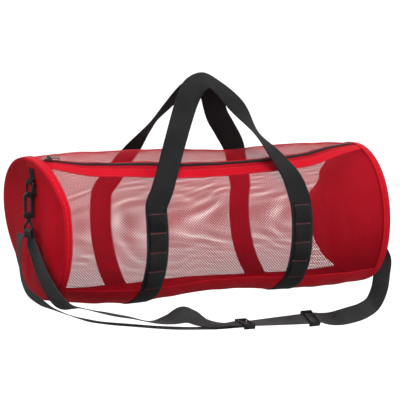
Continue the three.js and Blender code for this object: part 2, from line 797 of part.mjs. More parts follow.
function handleRoot(x, angle, acrossX) {
  const share = (x - leftSeam) / LENGTH;
  const onSide = Math.sign(180 - angle);
  const start = angle - onSide * arc(3 * CLEAR);
  const lift = CLEAR + WEBBING_THICK / 2;
  const root = bodyPoint(share, start, lift);
  const lean = acrossX * ROOT_LEAN;
  const next = bodyPoint(share, start - onSide * arc(ROOT_RISE), lift + 1).add(vector(lean, 0, 0));
  const across = vector(acrossX, 0, 0);
  const rising = vector(0, onSide * Math.cos(degrees(angle)), Math.abs(Math.sin(degrees(angle))));
  const along = rising.multiplyScalar(acrossX);
  const turned = vector(acrossX, 0, -ROOT_TURN).normalize();
  return [{ at: root, across, along }, { at: next, across: turned }];
}

function buildHandle(name, table, angle) {
  const half = RING_SPACING / 2;
  const left = handleRoot(-half, angle, 1);
  const right = handleRoot(half, angle, -1);
  const free = routePlaces(table, half, RADIUS, GRIP_HEIGHT);
  const route = smoothRoute([...left, ...free, ...right.reverse()], 3);
  addPiece(name, ribbon(route, WEBBING_WIDTH, WEBBING_THICK), webbing);
}

// A round wire bent along a flat closed path; the path's points are given in the plane's own two axes
function wireLoop(path, wire, sides, origin, axisA, axisB) {
  const normal = axisA.clone().cross(axisB).normalize();
  const loops = path.map((point, i) => {
    const before = path[(i - 1 + path.length) % path.length];
    const after = path[(i + 1) % path.length];
    const into = new THREE.Vector2(point[0] - before[0], point[1] - before[1]).normalize();
    const away = new THREE.Vector2(after[0] - point[0], after[1] - point[1]).normalize();
    const bisector = into.clone().add(away).normalize();
    const mitre = 1 / Math.max(0.5, bisector.dot(into));
    const outward = axisA.clone().multiplyScalar(bisector.y).addScaledVector(axisB, -bisector.x);
    const centre = origin.clone().addScaledVector(axisA, point[0]).addScaledVector(axisB, point[1]);
    const loop = [];
    for (let j = 0; j < sides; j += 1) {
      const turn = 2 * Math.PI * (j + 0.5) / sides;
      loop.push(centre.clone()
        .addScaledVector(outward, Math.cos(turn) * mitre * wire / 2)
        .addScaledVector(normal, Math.sin(turn) * wire / 2));
    }
    return loop;
  });
  return loft(loops, true);
}

function arcPath(centreX, centreY, radius, from, to, steps) {
  const path = [];
  for (let i = 0; i <= steps; i += 1) {
    const turn = degrees(from + (to - from) * i / steps);
    path.push([centreX + radius * Math.cos(turn), centreY + radius * Math.sin(turn)]);
  }
  return path;
}

// End hardware. A frame at the hook's middle line has x pointing out of the bag and z up.

function hardwareFrame(side) {
  const y = side < 0 ? LEFT_HARDWARE_Y : RIGHT_HARDWARE_Y;
  const foot = RADIUS - HARDWARE_BELOW_RIM;
  const heights = [HOOK_BASE_TOP, HOOK_CROWN, HOOK_CROWN + RING_DROP];
  const highest = Math.max(...heights.map((z) => side * panelFaceX(side, y, foot + z)));
  const frame = new THREE.Group();
  frame.position.set(side * (highest + HARDWARE_OUT), y, foot);
  frame.rotation.z = side < 0 ? Math.PI : 0;
  return frame;
}

const bowRadius = RING_WIDTH / 2;
const bowRise = bowRadius - Math.sqrt(bowRadius ** 2 - (HOOK_DEPTH / 2) ** 2);
const bowHeight = HOOK_CROWN - CLEAR - RING_WIRE / 2 - bowRise;
const tilt = degrees(RING_TILT);
const ringDown = vector(Math.sin(tilt), 0, -Math.cos(tilt));
const ringTop = vector(0, 0, bowHeight).addScaledVector(ringDown, -RING_DROP);

function buildDRing(name, frame) {
  const half = bowRadius;
  const corner = RING_CORNER;
  const path = [
    ...arcPath(-half + corner, corner, corner, 180, 270, 2),
    ...arcPath(half - corner, corner, corner, 270, 360, 2),
    ...arcPath(0, RING_DROP - half, half, 0, 180, 12),
  ];
  addPiece(name, wireLoop(path, RING_WIRE, 8, ringTop, vector(0, 1, 0), ringDown), plastic, frame);
}

// Tab: webbing sewn to the panel above and below the ring's bar, and round the bar between
function buildTab(name, side, frame) {
  const roll = RING_WIRE / 2 + CLEAR + WEBBING_THICK / 2;
  const seat = TAB_GAP + WEBBING_THICK / 2;
  const middle = frame.position.y;
  const face = (y, height) => panelFaceX(side, y, frame.position.z + height);
  const toFrame = (height) => {
    const places = [-1, 0, 1].map((edge) => middle + edge * TAB_WIDTH / 2);
    const highest = Math.max(...places.map((y) => side * face(y, height)));
    const slope = Math.abs(face(middle, height + 1) - face(middle, height));
    return highest - side * frame.position.x + seat * Math.hypot(1, slope);
  };
  const bar = ringTop;
  const lead = roll + TAB_LEAD;
  const below = [TAB_SEWN, TAB_SEWN / 2, 0].map((step) => bar.z - lead - step);
  const above = [0, TAB_SEWN / 2, TAB_SEWN].map((step) => bar.z + lead + step);
  const round = arcPath(bar.x, bar.z, roll, -70, 70, 6);
  const points = [
    ...below.map((z) => vector(toFrame(z), 0, z)),
    ...round.map(([x, z]) => vector(x, 0, z)),
    ...above.map((z) => vector(toFrame(z), 0, z)),
  ];
  const route = points.map((at) => ({ at, across: vector(0, 1, 0) }));
  addPiece(name, ribbon(route, TAB_WIDTH, WEBBING_THICK), webbing, frame);
}

// Snap hook: shank on the bag's side, crown over the ring, nose and sprung gate on the outer side
const hookHalf = HOOK_WIDTH / 2;
const crownCentre = HOOK_CROWN - (hookHalf - HOOK_BAR / 2);

function buildHook(name, frame) {
  const path = [
    [-hookHalf, HOOK_BASE_TOP - BOW_SUNK],
    [-hookHalf, (HOOK_BASE_TOP + crownCentre) / 2],
    ...arcPath(0, crownCentre, hookHalf, 180, 0, 10),
    [hookHalf, crownCentre - NOSE_DROP],
  ];
  const route = path.map(([x, z]) => ({ at: vector(x, 0, z), across: vector(0, 1, 0) }));
  const bow = ribbon(route, HOOK_DEPTH, HOOK_BAR);
  const baseHeight = HOOK_BASE_TOP - HOOK_BASE_FOOT;
  const baseWidth = HOOK_WIDTH + HOOK_BAR;
  const base = boxAt(baseWidth, HOOK_DEPTH + 2, baseHeight, 0, 0, HOOK_BASE_FOOT + baseHeight / 2);
  const bore = uprightCylinder(SWIVEL_PIN / 2 + CLEAR, 2 * PIN_LENGTH, 12, 0, 0, HOOK_BASE_FOOT);
  addPiece(name, cut(joined(bow, base), bore), plastic, frame);
}

function buildGate(name, frame) {
  const foot = HOOK_BASE_TOP + CLEAR;
  const top = crownCentre - NOSE_DROP - CLEAR;
  const pivot = foot + GATE_THICK / 2;
  const arm = boxAt(GATE_THICK, GATE_DEPTH, top - pivot, hookHalf, 0, (top + pivot) / 2);
  const knuckle = new THREE.CylinderGeometry(GATE_THICK / 2, GATE_THICK / 2, GATE_DEPTH, 16);
  knuckle.translate(hookHalf, 0, 0).applyMatrix4(new THREE.Matrix4().makeTranslation(0, 0, pivot));
  addPiece(name, joined(arm, knuckle), plastic, frame);
}

// Swivel: a pin in the hook's base, a collar, and a loop with the bar that carries the strap
function buildSwivel(name, frame) {
  const half = SWIVEL_WIDTH / 2;
  const shoulder = LOOP_SHOULDER;
  const loopTop = HOOK_BASE_FOOT - LOOP_CHEEK;
  const path = [
    [-half, SWIVEL_FOOT],
    [half, SWIVEL_FOOT],
    [half, SWIVEL_FOOT + LOOP_CHEEK],
    [shoulder, loopTop],
    [-shoulder, loopTop],
    [-half, SWIVEL_FOOT + LOOP_CHEEK],
  ];
  const loop = wireLoop(path, SWIVEL_WIRE, 8, vector(0, 0, 0), vector(0, 1, 0), vector(0, 0, 1));
  const collarTop = HOOK_BASE_FOOT - CLEAR;
  const collar = uprightCylinder(SWIVEL_COLLAR / 2, collarTop - loopTop, 12, 0, 0, (collarTop + loopTop) / 2);
  const pinMiddle = collarTop - PIN_SUNK + PIN_LENGTH / 2;
  const pin = uprightCylinder(SWIVEL_PIN / 2, PIN_LENGTH, 12, 0, 0, pinMiddle);
  addPiece(name, joined(loop, collar, pin), plastic, frame);
}

// Shoulder strap. The plies lap over the swivels' bars.

function strapLap(frame, side, from, to, steps) {
  const roll = SWIVEL_WIRE / 2 + 3 * CLEAR + STRAP_THICK / 2;
  const lap = arcPath(0, SWIVEL_FOOT, roll, from, to, steps);
  lap.push([Math.sign(Math.cos(degrees(to))) * (roll + LAP_FLARE), SWIVEL_FOOT - LAP_DROP]);
  return lap.map(([x, z]) => ({
    at: vector(frame.position.x + side * x, frame.position.y, frame.position.z + z),
    across: vector(0, -1, 0),
  }));
}

function glidePlace(glide) {
  const [x, y, z] = glide.at;
  return {
    at: vector(x * LENGTH / 2, y * RADIUS, z * STRAP_DROP),
    along: vector(...glide.along).normalize(),
    across: vector(...glide.across).normalize(),
  };
}

// Where a ply enters a slider, a set distance before or past its middle and off its middle plane
function glideEnd(glide, distance, lift) {
  const place = glidePlace(glide);
  const up = place.across.clone().cross(place.along).normalize();
  return {
    at: place.at.clone().addScaledVector(place.along, distance).addScaledVector(up, lift),
    across: place.across,
    along: place.along,
  };
}

function buildStrap(leftFrame, rightFrame) {
  const half = LENGTH / 2;
  const plyLift = (STRAP_THICK + 2 * CLEAR) / 2;
  const entry = GLIDE_LENGTH / 2 + GLIDE_ENTRY;
  const gap = CLEAR / 2;
  const table = (rows) => routePlaces(rows, half, RADIUS, STRAP_DROP);
  const pack = (places) => ribbon(smoothRoute(places, 3), STRAP_WIDTH, STRAP_THICK);

  const outer = [
    ...strapLap(leftFrame, -1, 90 - LAP_SPLIT, 10, 4),
    ...table(OUTER_PLY),
    glideEnd(LEFT_GLIDE, -entry, -plyLift),
    glideEnd(LEFT_GLIDE, -gap, -plyLift),
  ];
  const inner = [
    ...strapLap(leftFrame, -1, 90 + LAP_SPLIT, 180, 4),
    ...table(INNER_PLY),
    glideEnd(LEFT_GLIDE, -entry, plyLift),
    glideEnd(LEFT_GLIDE, -gap, plyLift),
  ];
  const middle = [
    glideEnd(LEFT_GLIDE, gap, 0),
    glideEnd(LEFT_GLIDE, entry, 0),
    glideEnd(RIGHT_GLIDE, -entry, 0),
    glideEnd(RIGHT_GLIDE, -gap, 0),
  ];
  const right = [
    glideEnd(RIGHT_GLIDE, gap, 0),
    glideEnd(RIGHT_GLIDE, entry, 0),
    ...table(RIGHT_STRETCH),
    ...strapLap(rightFrame, 1, 170, 0, 6).reverse(),
  ];
  addPiece('strap_outer_ply', pack(outer), webbing);
  addPiece('strap_inner_ply', pack(inner), webbing);
  addPiece('strap_middle', pack(middle), greyWebbing);
  addPiece('strap_right', pack(right), webbing);
}

// Strap slider: two end bars over the strap, one middle bar under it, and a rail along each edge
function buildGlide(name, glide) {
  const place = glidePlace(glide);
  const up = place.across.clone().cross(place.along).normalize();
  const farWay = up.clone().cross(place.along).normalize();
  const frame = new THREE.Group();
  frame.applyMatrix4(new THREE.Matrix4().makeBasis(place.along, farWay, up));
  frame.position.copy(place.at);
  const strapHalf = STRAP_THICK + CLEAR;
  const barZ = strapHalf + 4 * CLEAR + GLIDE_THICK / 2;
  const railWidth = GLIDE_RAIL;
  const railY = STRAP_WIDTH / 2 + 2 * CLEAR + railWidth / 2;
  const barLength = 2 * railY + railWidth;
  const endX = (GLIDE_LENGTH - GLIDE_BAR) / 2;
  const railHeight = 2 * barZ + GLIDE_THICK;
  const rails = [-1, 1].map((edge) => boxAt(GLIDE_LENGTH, railWidth, railHeight, 0, edge * railY, 0));
  const ends = [-1, 1].map((end) => boxAt(GLIDE_BAR, barLength, GLIDE_THICK, end * endX, 0, barZ));
  const middle = boxAt(GLIDE_BAR, barLength, GLIDE_THICK, 0, 0, -barZ);
  addPiece(name, joined(...rails, ...ends, middle), plastic, frame);
  bag.add(frame);
}

function buildHardware(word, side) {
  const frame = hardwareFrame(side);
  buildTab(`ring_tab_${word}`, side, frame);
  buildDRing(`d_ring_${word}`, frame);
  buildHook(`hook_${word}`, frame);
  buildGate(`gate_${word}`, frame);
  buildSwivel(`swivel_${word}`, frame);
  bag.add(frame);
  return frame;
}

buildMeshBody();
buildBasePanel();
buildBinding('rim_binding_left', lengthStations.slice(0, 2));
buildBinding('rim_binding_right', lengthStations.slice(LAST_STATION - 1));
buildEndPanel('end_panel_left', -1);
buildEndPanel('end_panel_right', 1);
buildZip();
buildZipSlider();
buildRing('webbing_ring_left', LEFT_RING_START);
buildRing('webbing_ring_right', RIGHT_RING_START);
buildDaisyChain('daisy_chain_left', -RING_SPACING / 2);
buildDaisyChain('daisy_chain_right', RING_SPACING / 2);
buildHandle('front_handle', FRONT_HANDLE, RING_END);
buildHandle('back_handle', BACK_HANDLE, 360 - RING_END);
const leftHardware = buildHardware('left', -1);
const rightHardware = buildHardware('right', 1);
buildStrap(leftHardware, rightHardware);
buildGlide('strap_slider_left', LEFT_GLIDE);
buildGlide('strap_slider_right', RIGHT_GLIDE);

const root = new THREE.Group();
root.add(bag);

export default root;
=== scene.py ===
# %% [markdown]
# # A mesh dive gear bag
#
# The bag is a soft tube of red net, with solid red cloth at both ends and along the bottom.
# Black webbing runs round it in two rings and rises into two handles that meet at the grip.
# A shoulder strap hangs below it, clipped to a plastic hook at each end.
#
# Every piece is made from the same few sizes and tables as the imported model. They are in
# millimetres about the bag's middle, and `placed` turns them into metres about the grip.

# %% Start
import math
import bpy
import bmesh
import numpy as np
from mathutils import Matrix, Vector, noise


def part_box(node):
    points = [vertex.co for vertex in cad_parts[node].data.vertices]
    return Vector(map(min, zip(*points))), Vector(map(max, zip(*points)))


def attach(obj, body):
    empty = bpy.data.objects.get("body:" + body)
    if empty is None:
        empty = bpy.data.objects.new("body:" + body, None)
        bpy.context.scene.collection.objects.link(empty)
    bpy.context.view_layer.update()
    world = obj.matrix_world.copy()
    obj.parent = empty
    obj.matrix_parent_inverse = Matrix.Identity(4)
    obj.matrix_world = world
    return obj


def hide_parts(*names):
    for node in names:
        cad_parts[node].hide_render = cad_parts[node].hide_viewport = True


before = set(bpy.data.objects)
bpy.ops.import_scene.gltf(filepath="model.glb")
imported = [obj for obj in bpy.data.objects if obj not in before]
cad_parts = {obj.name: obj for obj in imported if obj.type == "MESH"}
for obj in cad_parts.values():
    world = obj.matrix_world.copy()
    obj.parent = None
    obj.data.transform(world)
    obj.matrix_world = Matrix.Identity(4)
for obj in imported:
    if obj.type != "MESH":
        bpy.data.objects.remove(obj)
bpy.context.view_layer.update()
print("packed nodes:", len(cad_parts))

# %% [markdown]
# ## Camera first
#
# The photograph looks at the bag from the front left and a little above, through a long lens,
# so that near and far rings are almost the same size. The camera stands 5 m away. The field
# then is 872 mm wide, which fixes the lens, and the aim is a little above the bag's middle.

# %% Camera
GRIP_HEIGHT = 325.0
CAMERA_DISTANCE = 5.0
CAMERA_AZIMUTH = -25.6
CAMERA_ELEVATION = 7.5
FIELD_WIDTH = 0.872
AIM_ABOVE_MIDDLE = 0.0458
SENSOR = 36.0


def make_camera():
    turn = math.radians(CAMERA_AZIMUTH)
    tilt = math.radians(CAMERA_ELEVATION)
    back = Vector((math.sin(turn) * math.cos(tilt), -math.cos(turn) * math.cos(tilt), math.sin(tilt)))
    right = Vector((math.cos(turn), math.sin(turn), 0))
    up = back.cross(right)
    aim = Vector((0, 0, -GRIP_HEIGHT / 1000)) + up * AIM_ABOVE_MIDDLE
    camera_data = bpy.data.cameras.new("camera")
    camera_data.sensor_width = SENSOR
    camera_data.lens = SENSOR * CAMERA_DISTANCE / FIELD_WIDTH
    camera_data.clip_end = 50
    camera = bpy.data.objects.new("camera", camera_data)
    axes = Matrix((right, up, back)).transposed().to_4x4()
    camera.matrix_world = Matrix.Translation(aim + back * CAMERA_DISTANCE) @ axes
    bpy.context.scene.collection.objects.link(camera)
    bpy.context.scene.camera = camera
    return camera


camera = make_camera()
print("lens:", round(camera.data.lens, 1), "mm")

# %% [markdown]
# ## Light and floor
#
# The product is lit softly from everywhere, with the strongest light above and to the left.
# A white world gives the even part and three large area lights give it direction. The backdrop
# and the floor look pure white to the camera, and that white doesn't light the bag.
# The floor is well below the strap, because the bag hangs from its handles.

# %% Light and floor
WORLD_LIGHT = 0.72
BACKDROP_LIGHT = 1.02
FLOOR_GLOW = 0.88
FLOOR_HEIGHT = -0.78
FLOOR_SIZE = 40.0
# name, place, aim, size in metres, watts
LIGHTS = [
    ("key", (-0.6, -1.8, 2.4), (0, 0, -0.3), 1.4, 74),
    ("fill", (2.6, -1.8, 0.5), (0, 0, -0.35), 2.0, 26),
    ("rim", (0.3, 2.4, 1.6), (0, 0, -0.3), 1.8, 14),
]


def calc(tree, operation, *values):
    """A math node. Each value is a number or another node's output."""
    node = tree.nodes.new("ShaderNodeMath")
    node.operation = operation
    for socket, value in zip(node.inputs, values):
        if isinstance(value, (int, float)):
            socket.default_value = value
        else:
            tree.links.new(value, socket)
    return node.outputs[0]


def make_world():
    world = bpy.data.worlds.new("white studio")
    world.use_nodes = True
    tree = world.node_tree
    lit = tree.nodes["Background"]
    lit.inputs["Color"].default_value = (1, 1, 1, 1)
    lit.inputs["Strength"].default_value = WORLD_LIGHT
    seen = tree.nodes.new("ShaderNodeBackground")
    seen.inputs["Color"].default_value = (1, 1, 1, 1)
    seen.inputs["Strength"].default_value = BACKDROP_LIGHT
    path = tree.nodes.new("ShaderNodeLightPath")
    mix = tree.nodes.new("ShaderNodeMixShader")
    tree.links.new(path.outputs["Is Camera Ray"], mix.inputs[0])
    tree.links.new(lit.outputs[0], mix.inputs[1])
    tree.links.new(seen.outputs[0], mix.inputs[2])
    tree.links.new(mix.outputs[0], tree.nodes["World Output"].inputs["Surface"])
    bpy.context.scene.world = world
    bpy.context.scene.view_settings.view_transform = "Standard"


def area_light(name, place, aim, size, power):
    light_data = bpy.data.lights.new(name, "AREA")
    light_data.size = size
    light_data.energy = power
    light = bpy.data.objects.new(name, light_data)
    light.location = place
    light.rotation_euler = (Vector(aim) - Vector(place)).to_track_quat("-Z", "Y").to_euler()
    bpy.context.scene.collection.objects.link(light)


def make_floor():
    half = FLOOR_SIZE / 2
    mesh = bpy.data.meshes.new("floor")
    corners = [(-half, -half), (half, -half), (half, half), (-half, half)]
    mesh.from_pydata([(x, y, FLOOR_HEIGHT) for x, y in corners], [], [(0, 1, 2, 3)])
    floor = bpy.data.objects.new("floor", mesh)
    bpy.context.scene.collection.objects.link(floor)
    white = bpy.data.materials.new("white floor")
    white.use_nodes = True
    tree = white.node_tree
    shader = tree.nodes["Principled BSDF"]
    shader.inputs["Base Color"].default_value = (0.35, 0.35, 0.35, 1)
    shader.inputs["Roughness"].default_value = 1.0
    shader.inputs["Specular IOR Level"].default_value = 0.0
    shader.inputs["Emission Color"].default_value = (1, 1, 1, 1)
    seen = calc(tree, "MULTIPLY", tree.nodes.new("ShaderNodeLightPath").outputs["Is Camera Ray"], FLOOR_GLOW)
    tree.links.new(seen, shader.inputs["Emission Strength"])
    mesh.materials.append(white)


make_world()
for light_row in LIGHTS:
    area_light(*light_row)
make_floor()
print("lights:", ", ".join(light_row[0] for light_row in LIGHTS))

# %% [markdown]
# ## The bag's surface
#
# A soft bag has no straight line in it. Its section is written as eight radii at nine places
# along the length, and everything sewn on it follows the same surface at its own height. That
# is why the surface is a function: net, tape, base and rings all ask it for their points.

# %% Sizes
LENGTH = 762.0
RADIUS = 152.5
BODY_SHIFT = 5.0
LEFT_SEAM = BODY_SHIFT - LENGTH / 2
RIGHT_SEAM = BODY_SHIFT + LENGTH / 2
CLEAR = 0.3
BASE_WIDTH = 190.0
BASE_TURN = 171.0
BASE_THICK = 1.5
BINDING_WIDTH = 13.0
BINDING_THICK = 2.5
PANEL_THICK = 2.0
PANEL_FLANGE = 3.0
LEFT_DOME = 15.0
RIGHT_SLUMP = 84.0
LEFT_LEAN = 30.0
LEAN_TURN = -25.0
LEAN_REACH = 0.2
RING_SPACING = 342.0
RING_END = 72.0
RIPPLE = 0.9
TURN = 6.28
WEBBING_WIDTH = 50.0
WEBBING_THICK = 2.0

# %% Tables
# share of length, top, near high, near, near low, bottom, far low, far, far high
SECTIONS = [
    (0.00, 1.03, 1.03, 1.00, 0.99, 0.92, 0.93, 0.98, 1.01),
    (0.06, 1.06, 1.04, 1.00, 1.02, 0.97, 0.96, 0.98, 1.03),
    (0.15, 1.07, 1.03, 0.99, 1.07, 1.03, 1.00, 0.98, 1.04),
    (0.27, 1.07, 1.02, 1.00, 1.08, 1.05, 0.98, 0.99, 1.03),
    (0.45, 1.04, 1.00, 0.97, 1.02, 0.98, 0.97, 0.98, 1.02),
    (0.60, 1.00, 0.99, 0.98, 1.02, 0.98, 0.98, 0.98, 1.00),
    (0.72, 1.03, 1.01, 1.00, 1.07, 1.02, 0.99, 0.99, 1.01),
    (0.88, 1.04, 1.02, 0.99, 1.07, 1.04, 0.99, 0.97, 1.00),
    (1.00, 1.00, 1.00, 0.99, 1.03, 1.00, 0.97, 0.97, 0.98),
]
# share of length, angle, half length, half angle, depth
DENTS = [
    (0.42, 62, 0.07, 24, 0.035),
    (0.40, 112, 0.06, 20, 0.03),
    (0.14, 88, 0.06, 34, 0.03),
    (0.60, 96, 0.06, 30, 0.025),
    (0.87, 70, 0.06, 26, 0.03),
    (0.50, 300, 0.12, 34, 0.04),
]
# share of length, degrees from the top toward the near side
ZIP_LINE = [(0.00, 10), (0.08, 22), (0.25, 27), (0.42, 30), (0.60, 28), (0.80, 24), (0.91, 13), (1.00, 3)]


# %% Surface functions
def table_reader(table):
    """A smooth curve through a table's rows, straight at its ends."""
    rows = np.array(table, float)
    places = rows[:, 0]
    values = rows[:, 1:]

    def read(share):
        share = np.asarray(share, float)
        here = np.clip(np.searchsorted(places, share, side="right") - 1, 0, len(places) - 2)
        t0 = places[here]
        t1 = places[here + 1]
        first = here == 0
        last = here == len(places) - 2
        before = np.where(first, here + 1, here - 1)
        after = np.where(last, here, np.minimum(here + 2, len(places) - 1))
        half = (t1 - t0) / 2
        weight_before = half / (t0 - places[before])
        weight_after = half / (places[after] - t1)
        p = (share - t0) / (t1 - t0)
        p2 = p * p
        p3 = p2 * p
        parts = [
            (-weight_before * p3 + 2 * weight_before * p2 - weight_before * p, before),
            ((1 + weight_before) * p3 - (1.5 + 2 * weight_before) * p2 + (weight_before - 0.5) * p + 1, here),
            ((-1 - weight_after) * p3 + (1.5 + weight_after) * p2 + 0.5 * p, here + 1),
            (weight_after * p3 - weight_after * p2, after),
        ]
        return sum(weight[..., None] * values[row] for weight, row in parts)

    return read


section_at = table_reader(SECTIONS)
zip_at = table_reader(ZIP_LINE)


def soft_bump(distance):
    """One in the middle, falling smoothly to nothing at a distance of one."""
    return np.where(distance < 1, (1 - np.minimum(distance, 1) ** 2) ** 2, 0)


def body_radius(share, angle):
    """The bag's radius there: a smooth curve round the eight radii, less the dents."""
    rows = section_at(share)
    turn = np.mod(angle, 360) / 45
    index = np.floor(turn).astype(int) % 8
    t = turn - np.floor(turn)
    pick = [np.take_along_axis(rows, ((index + step) % 8)[..., None], -1)[..., 0] for step in (-1, 0, 1, 2)]
    slope_from = (pick[2] - pick[0]) / 2
    slope_to = (pick[3] - pick[1]) / 2
    t2 = t * t
    t3 = t2 * t
    radius = (2 * t3 - 3 * t2 + 1) * pick[1] + (t3 - 2 * t2 + t) * slope_from
    radius = radius + (3 * t2 - 2 * t3) * pick[2] + (t3 - t2) * slope_to
    for dent_share, dent_angle, half_length, half_angle, depth in DENTS:
        along = (share - dent_share) / half_length
        around = (np.mod(angle - dent_angle + 180, 360) - 180) / half_angle
        radius = radius - depth * soft_bump(np.hypot(along, around))
    return radius * RADIUS


def ripple(share, angle):
    """Small soft waves that slack net and cloth show. They die out at both seams."""
    broad = np.sin(TURN * (5.3 * share + angle / 97)) * np.sin(TURN * (angle / 63 - 2.1 * share))
    fine = np.sin(TURN * (9.7 * share - angle / 41) + 0.3) * np.sin(TURN * share * 3.3 + angle / 17)
    return RIPPLE * (broad + 0.6 * fine) * np.clip(np.minimum(share, 1 - share) * 12, 0, 1)


def body_point(share, angle, height):
    """A point on the bag: share of its length, degrees from the top toward the near side, height."""
    share, angle, height = np.broadcast_arrays(
        np.asarray(share, float), np.asarray(angle, float), np.asarray(height, float))
    fade = np.maximum(0, 1 - share / LEAN_REACH) ** 2
    lean = LEFT_LEAN * fade * np.maximum(0, np.cos(np.radians(angle - LEAN_TURN)))
    radius = body_radius(share, angle) + height + ripple(share, angle)
    x = LEFT_SEAM + share * LENGTH - lean
    return np.stack([x, -radius * np.sin(np.radians(angle)), radius * np.cos(np.radians(angle))], -1)


def arc(length):
    return math.degrees(length / RADIUS)


def zip_angle(share):
    return zip_at(share)[..., 0]


BASE_NEAR = BASE_TURN - arc(BASE_WIDTH / 2)
BASE_FAR = BASE_TURN + arc(BASE_WIDTH / 2)
print("base panel from", round(BASE_NEAR), "to", round(BASE_FAR), "degrees")

# %% [markdown]
# ## Small tools that every piece uses
#
# `grid_sheet` turns rows of points into a smooth sheet with a thickness, and gives it a map in
# metres, so that a weave in its material has a real size. `link_piece` names the piece, lets it
# ride on its body and says which finish it has.


# %% Piece tools
def placed(points):
    points = np.asarray(points, float)
    return (points - np.array([0, 0, GRIP_HEIGHT])) / 1000


def link_piece(name, mesh, material, nodes=()):
    piece = bpy.data.objects.new(name, mesh)
    bpy.context.scene.collection.objects.link(piece)
    mesh.materials.append(material)
    mesh.shade_smooth()
    if nodes:
        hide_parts(*nodes)
    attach(piece, "bag")
    return piece


def refinish(node, material):
    """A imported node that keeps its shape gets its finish."""
    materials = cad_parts[node].data.materials
    materials.clear()
    materials.append(material)


def mesh_of(name, points, faces, maps=None):
    mesh = bpy.data.meshes.new(name)
    mesh.from_pydata(np.asarray(points).tolist(), [], faces)
    if maps is not None:
        layer = mesh.uv_layers.new(name="cloth map")
        corners = np.empty(len(mesh.loops), dtype=int)
        mesh.loops.foreach_get("vertex_index", corners)
        layer.uv.foreach_set("vector", np.asarray(maps, np.float32)[corners].ravel())
    mesh.update()
    return mesh


def grid_faces(rows, columns):
    faces = []
    for r in range(rows - 1):
        for c in range(columns - 1):
            a = r * columns + c
            faces.append((a, a + 1, a + columns + 1, a + columns))
    return faces


def distances(points, axis):
    """Metres walked along one direction of a grid of points."""
    steps = np.linalg.norm(np.diff(points, axis=axis), axis=-1)
    start = np.zeros_like(np.take(steps, [0], axis=axis))
    return np.cumsum(np.concatenate([start, steps], axis=axis), axis=axis)


def grid_sheet(name, points, thickness, material, nodes=(), flip=False):
    """A sheet through a grid of points, in millimetres, thickened inward."""
    points = placed(points)
    rows, columns = points.shape[:2]
    maps = np.stack([distances(points, 1), distances(points, 0)], -1).reshape(-1, 2)
    faces = grid_faces(rows, columns)
    if flip:
        faces = [face[::-1] for face in faces]
    mesh = mesh_of(name, points.reshape(-1, 3), faces, maps)
    piece = link_piece(name, mesh, material, nodes)
    thick = piece.modifiers.new("thickness", "SOLIDIFY")
    thick.thickness = thickness / 1000
    thick.offset = -1


# %% [markdown]
# ## Finishes
#
# Each effect that several materials need is a node group, built once: the ribbed weave of
# webbing, the plain weave of cloth, and the slow change of colour that handling leaves. They
# put out numbers and colours only. The shader stays in each material.


# %% Node tools
def new_group(name, numbers, outputs):
    """An empty node group with number inputs, given as name to default, and named outputs."""
    group = bpy.data.node_groups.new(name, "ShaderNodeTree")
    for label, value in numbers.items():
        socket = group.interface.new_socket(label, in_out="INPUT", socket_type="NodeSocketFloat")
        socket.default_value = value
    for label, kind in outputs.items():
        group.interface.new_socket(label, in_out="OUTPUT", socket_type=kind)
    start = group.nodes.new("NodeGroupInput")
    end = group.nodes.new("NodeGroupOutput")
    return group, start, end


def cloth_map(tree):
    """The two directions of a piece's map, in metres."""
    place = tree.nodes.new("ShaderNodeUVMap")
    place.uv_map = "cloth map"
    split = tree.nodes.new("ShaderNodeSeparateXYZ")
    tree.links.new(place.outputs[0], split.inputs[0])
    return split.outputs[0], split.outputs[1]


# %% Node groups
def webbing_weave_group():
    """Rows of short ribs, each row half a step along from the next, as nylon webbing has."""
    group, start, end = new_group(
        "webbing weave", {"Rib Width": 0.0016, "Rib Length": 0.003}, {"Height": "NodeSocketFloat"})
    across, along = cloth_map(group)
    row = calc(group, "DIVIDE", across, start.outputs["Rib Width"])
    round_rib = calc(group, "ABSOLUTE", calc(group, "SINE", calc(group, "MULTIPLY", row, math.pi)))
    shift = calc(group, "MULTIPLY", calc(group, "FLOOR", row), 0.5)
    step = calc(group, "ADD", calc(group, "DIVIDE", along, start.outputs["Rib Length"]), shift)
    bead = calc(group, "ABSOLUTE", calc(group, "SINE", calc(group, "MULTIPLY", step, math.pi)))
    height = calc(group, "MULTIPLY", calc(group, "POWER", round_rib, 0.6), calc(group, "POWER", bead, 0.4))
    group.links.new(height, end.inputs["Height"])
    return group


def cloth_weave_group():
    """A plain weave: threads one way, then the other, over and under."""
    group, start, end = new_group("cloth weave", {"Thread": 0.0007}, {"Height": "NodeSocketFloat"})
    across, along = cloth_map(group)
    turns = [calc(group, "MULTIPLY", calc(group, "DIVIDE", way, start.outputs["Thread"]), math.pi)
             for way in (across, along)]
    waves = [calc(group, "SINE", turn) for turn in turns]
    group.links.new(calc(group, "MULTIPLY", waves[0], waves[1]), end.inputs["Height"])
    return group


def handled_group():
    """Colour that changes slowly over the surface, with finer dust on top of it."""
    group, start, end = new_group(
        "handled", {"Patch Size": 9.0, "Dust Size": 120.0, "Amount": 0.25}, {"Shade": "NodeSocketFloat"})
    place = group.nodes.new("ShaderNodeTexCoord")
    amounts = []
    for label, detail in (("Patch Size", 3), ("Dust Size", 2)):
        cloud = group.nodes.new("ShaderNodeTexNoise")
        cloud.inputs["Detail"].default_value = detail
        group.links.new(place.outputs["Object"], cloud.inputs["Vector"])
        group.links.new(start.outputs[label], cloud.inputs["Scale"])
        amounts.append(cloud.outputs[0])
    broad, fine = [calc(group, "MULTIPLY", amount, share) for amount, share in zip(amounts, (0.7, 0.3))]
    mixed = calc(group, "ADD", broad, fine)
    centred = calc(group, "MULTIPLY", calc(group, "SUBTRACT", mixed, 0.5), start.outputs["Amount"])
    group.links.new(calc(group, "ADD", centred, 0.5), end.inputs["Shade"])
    return group


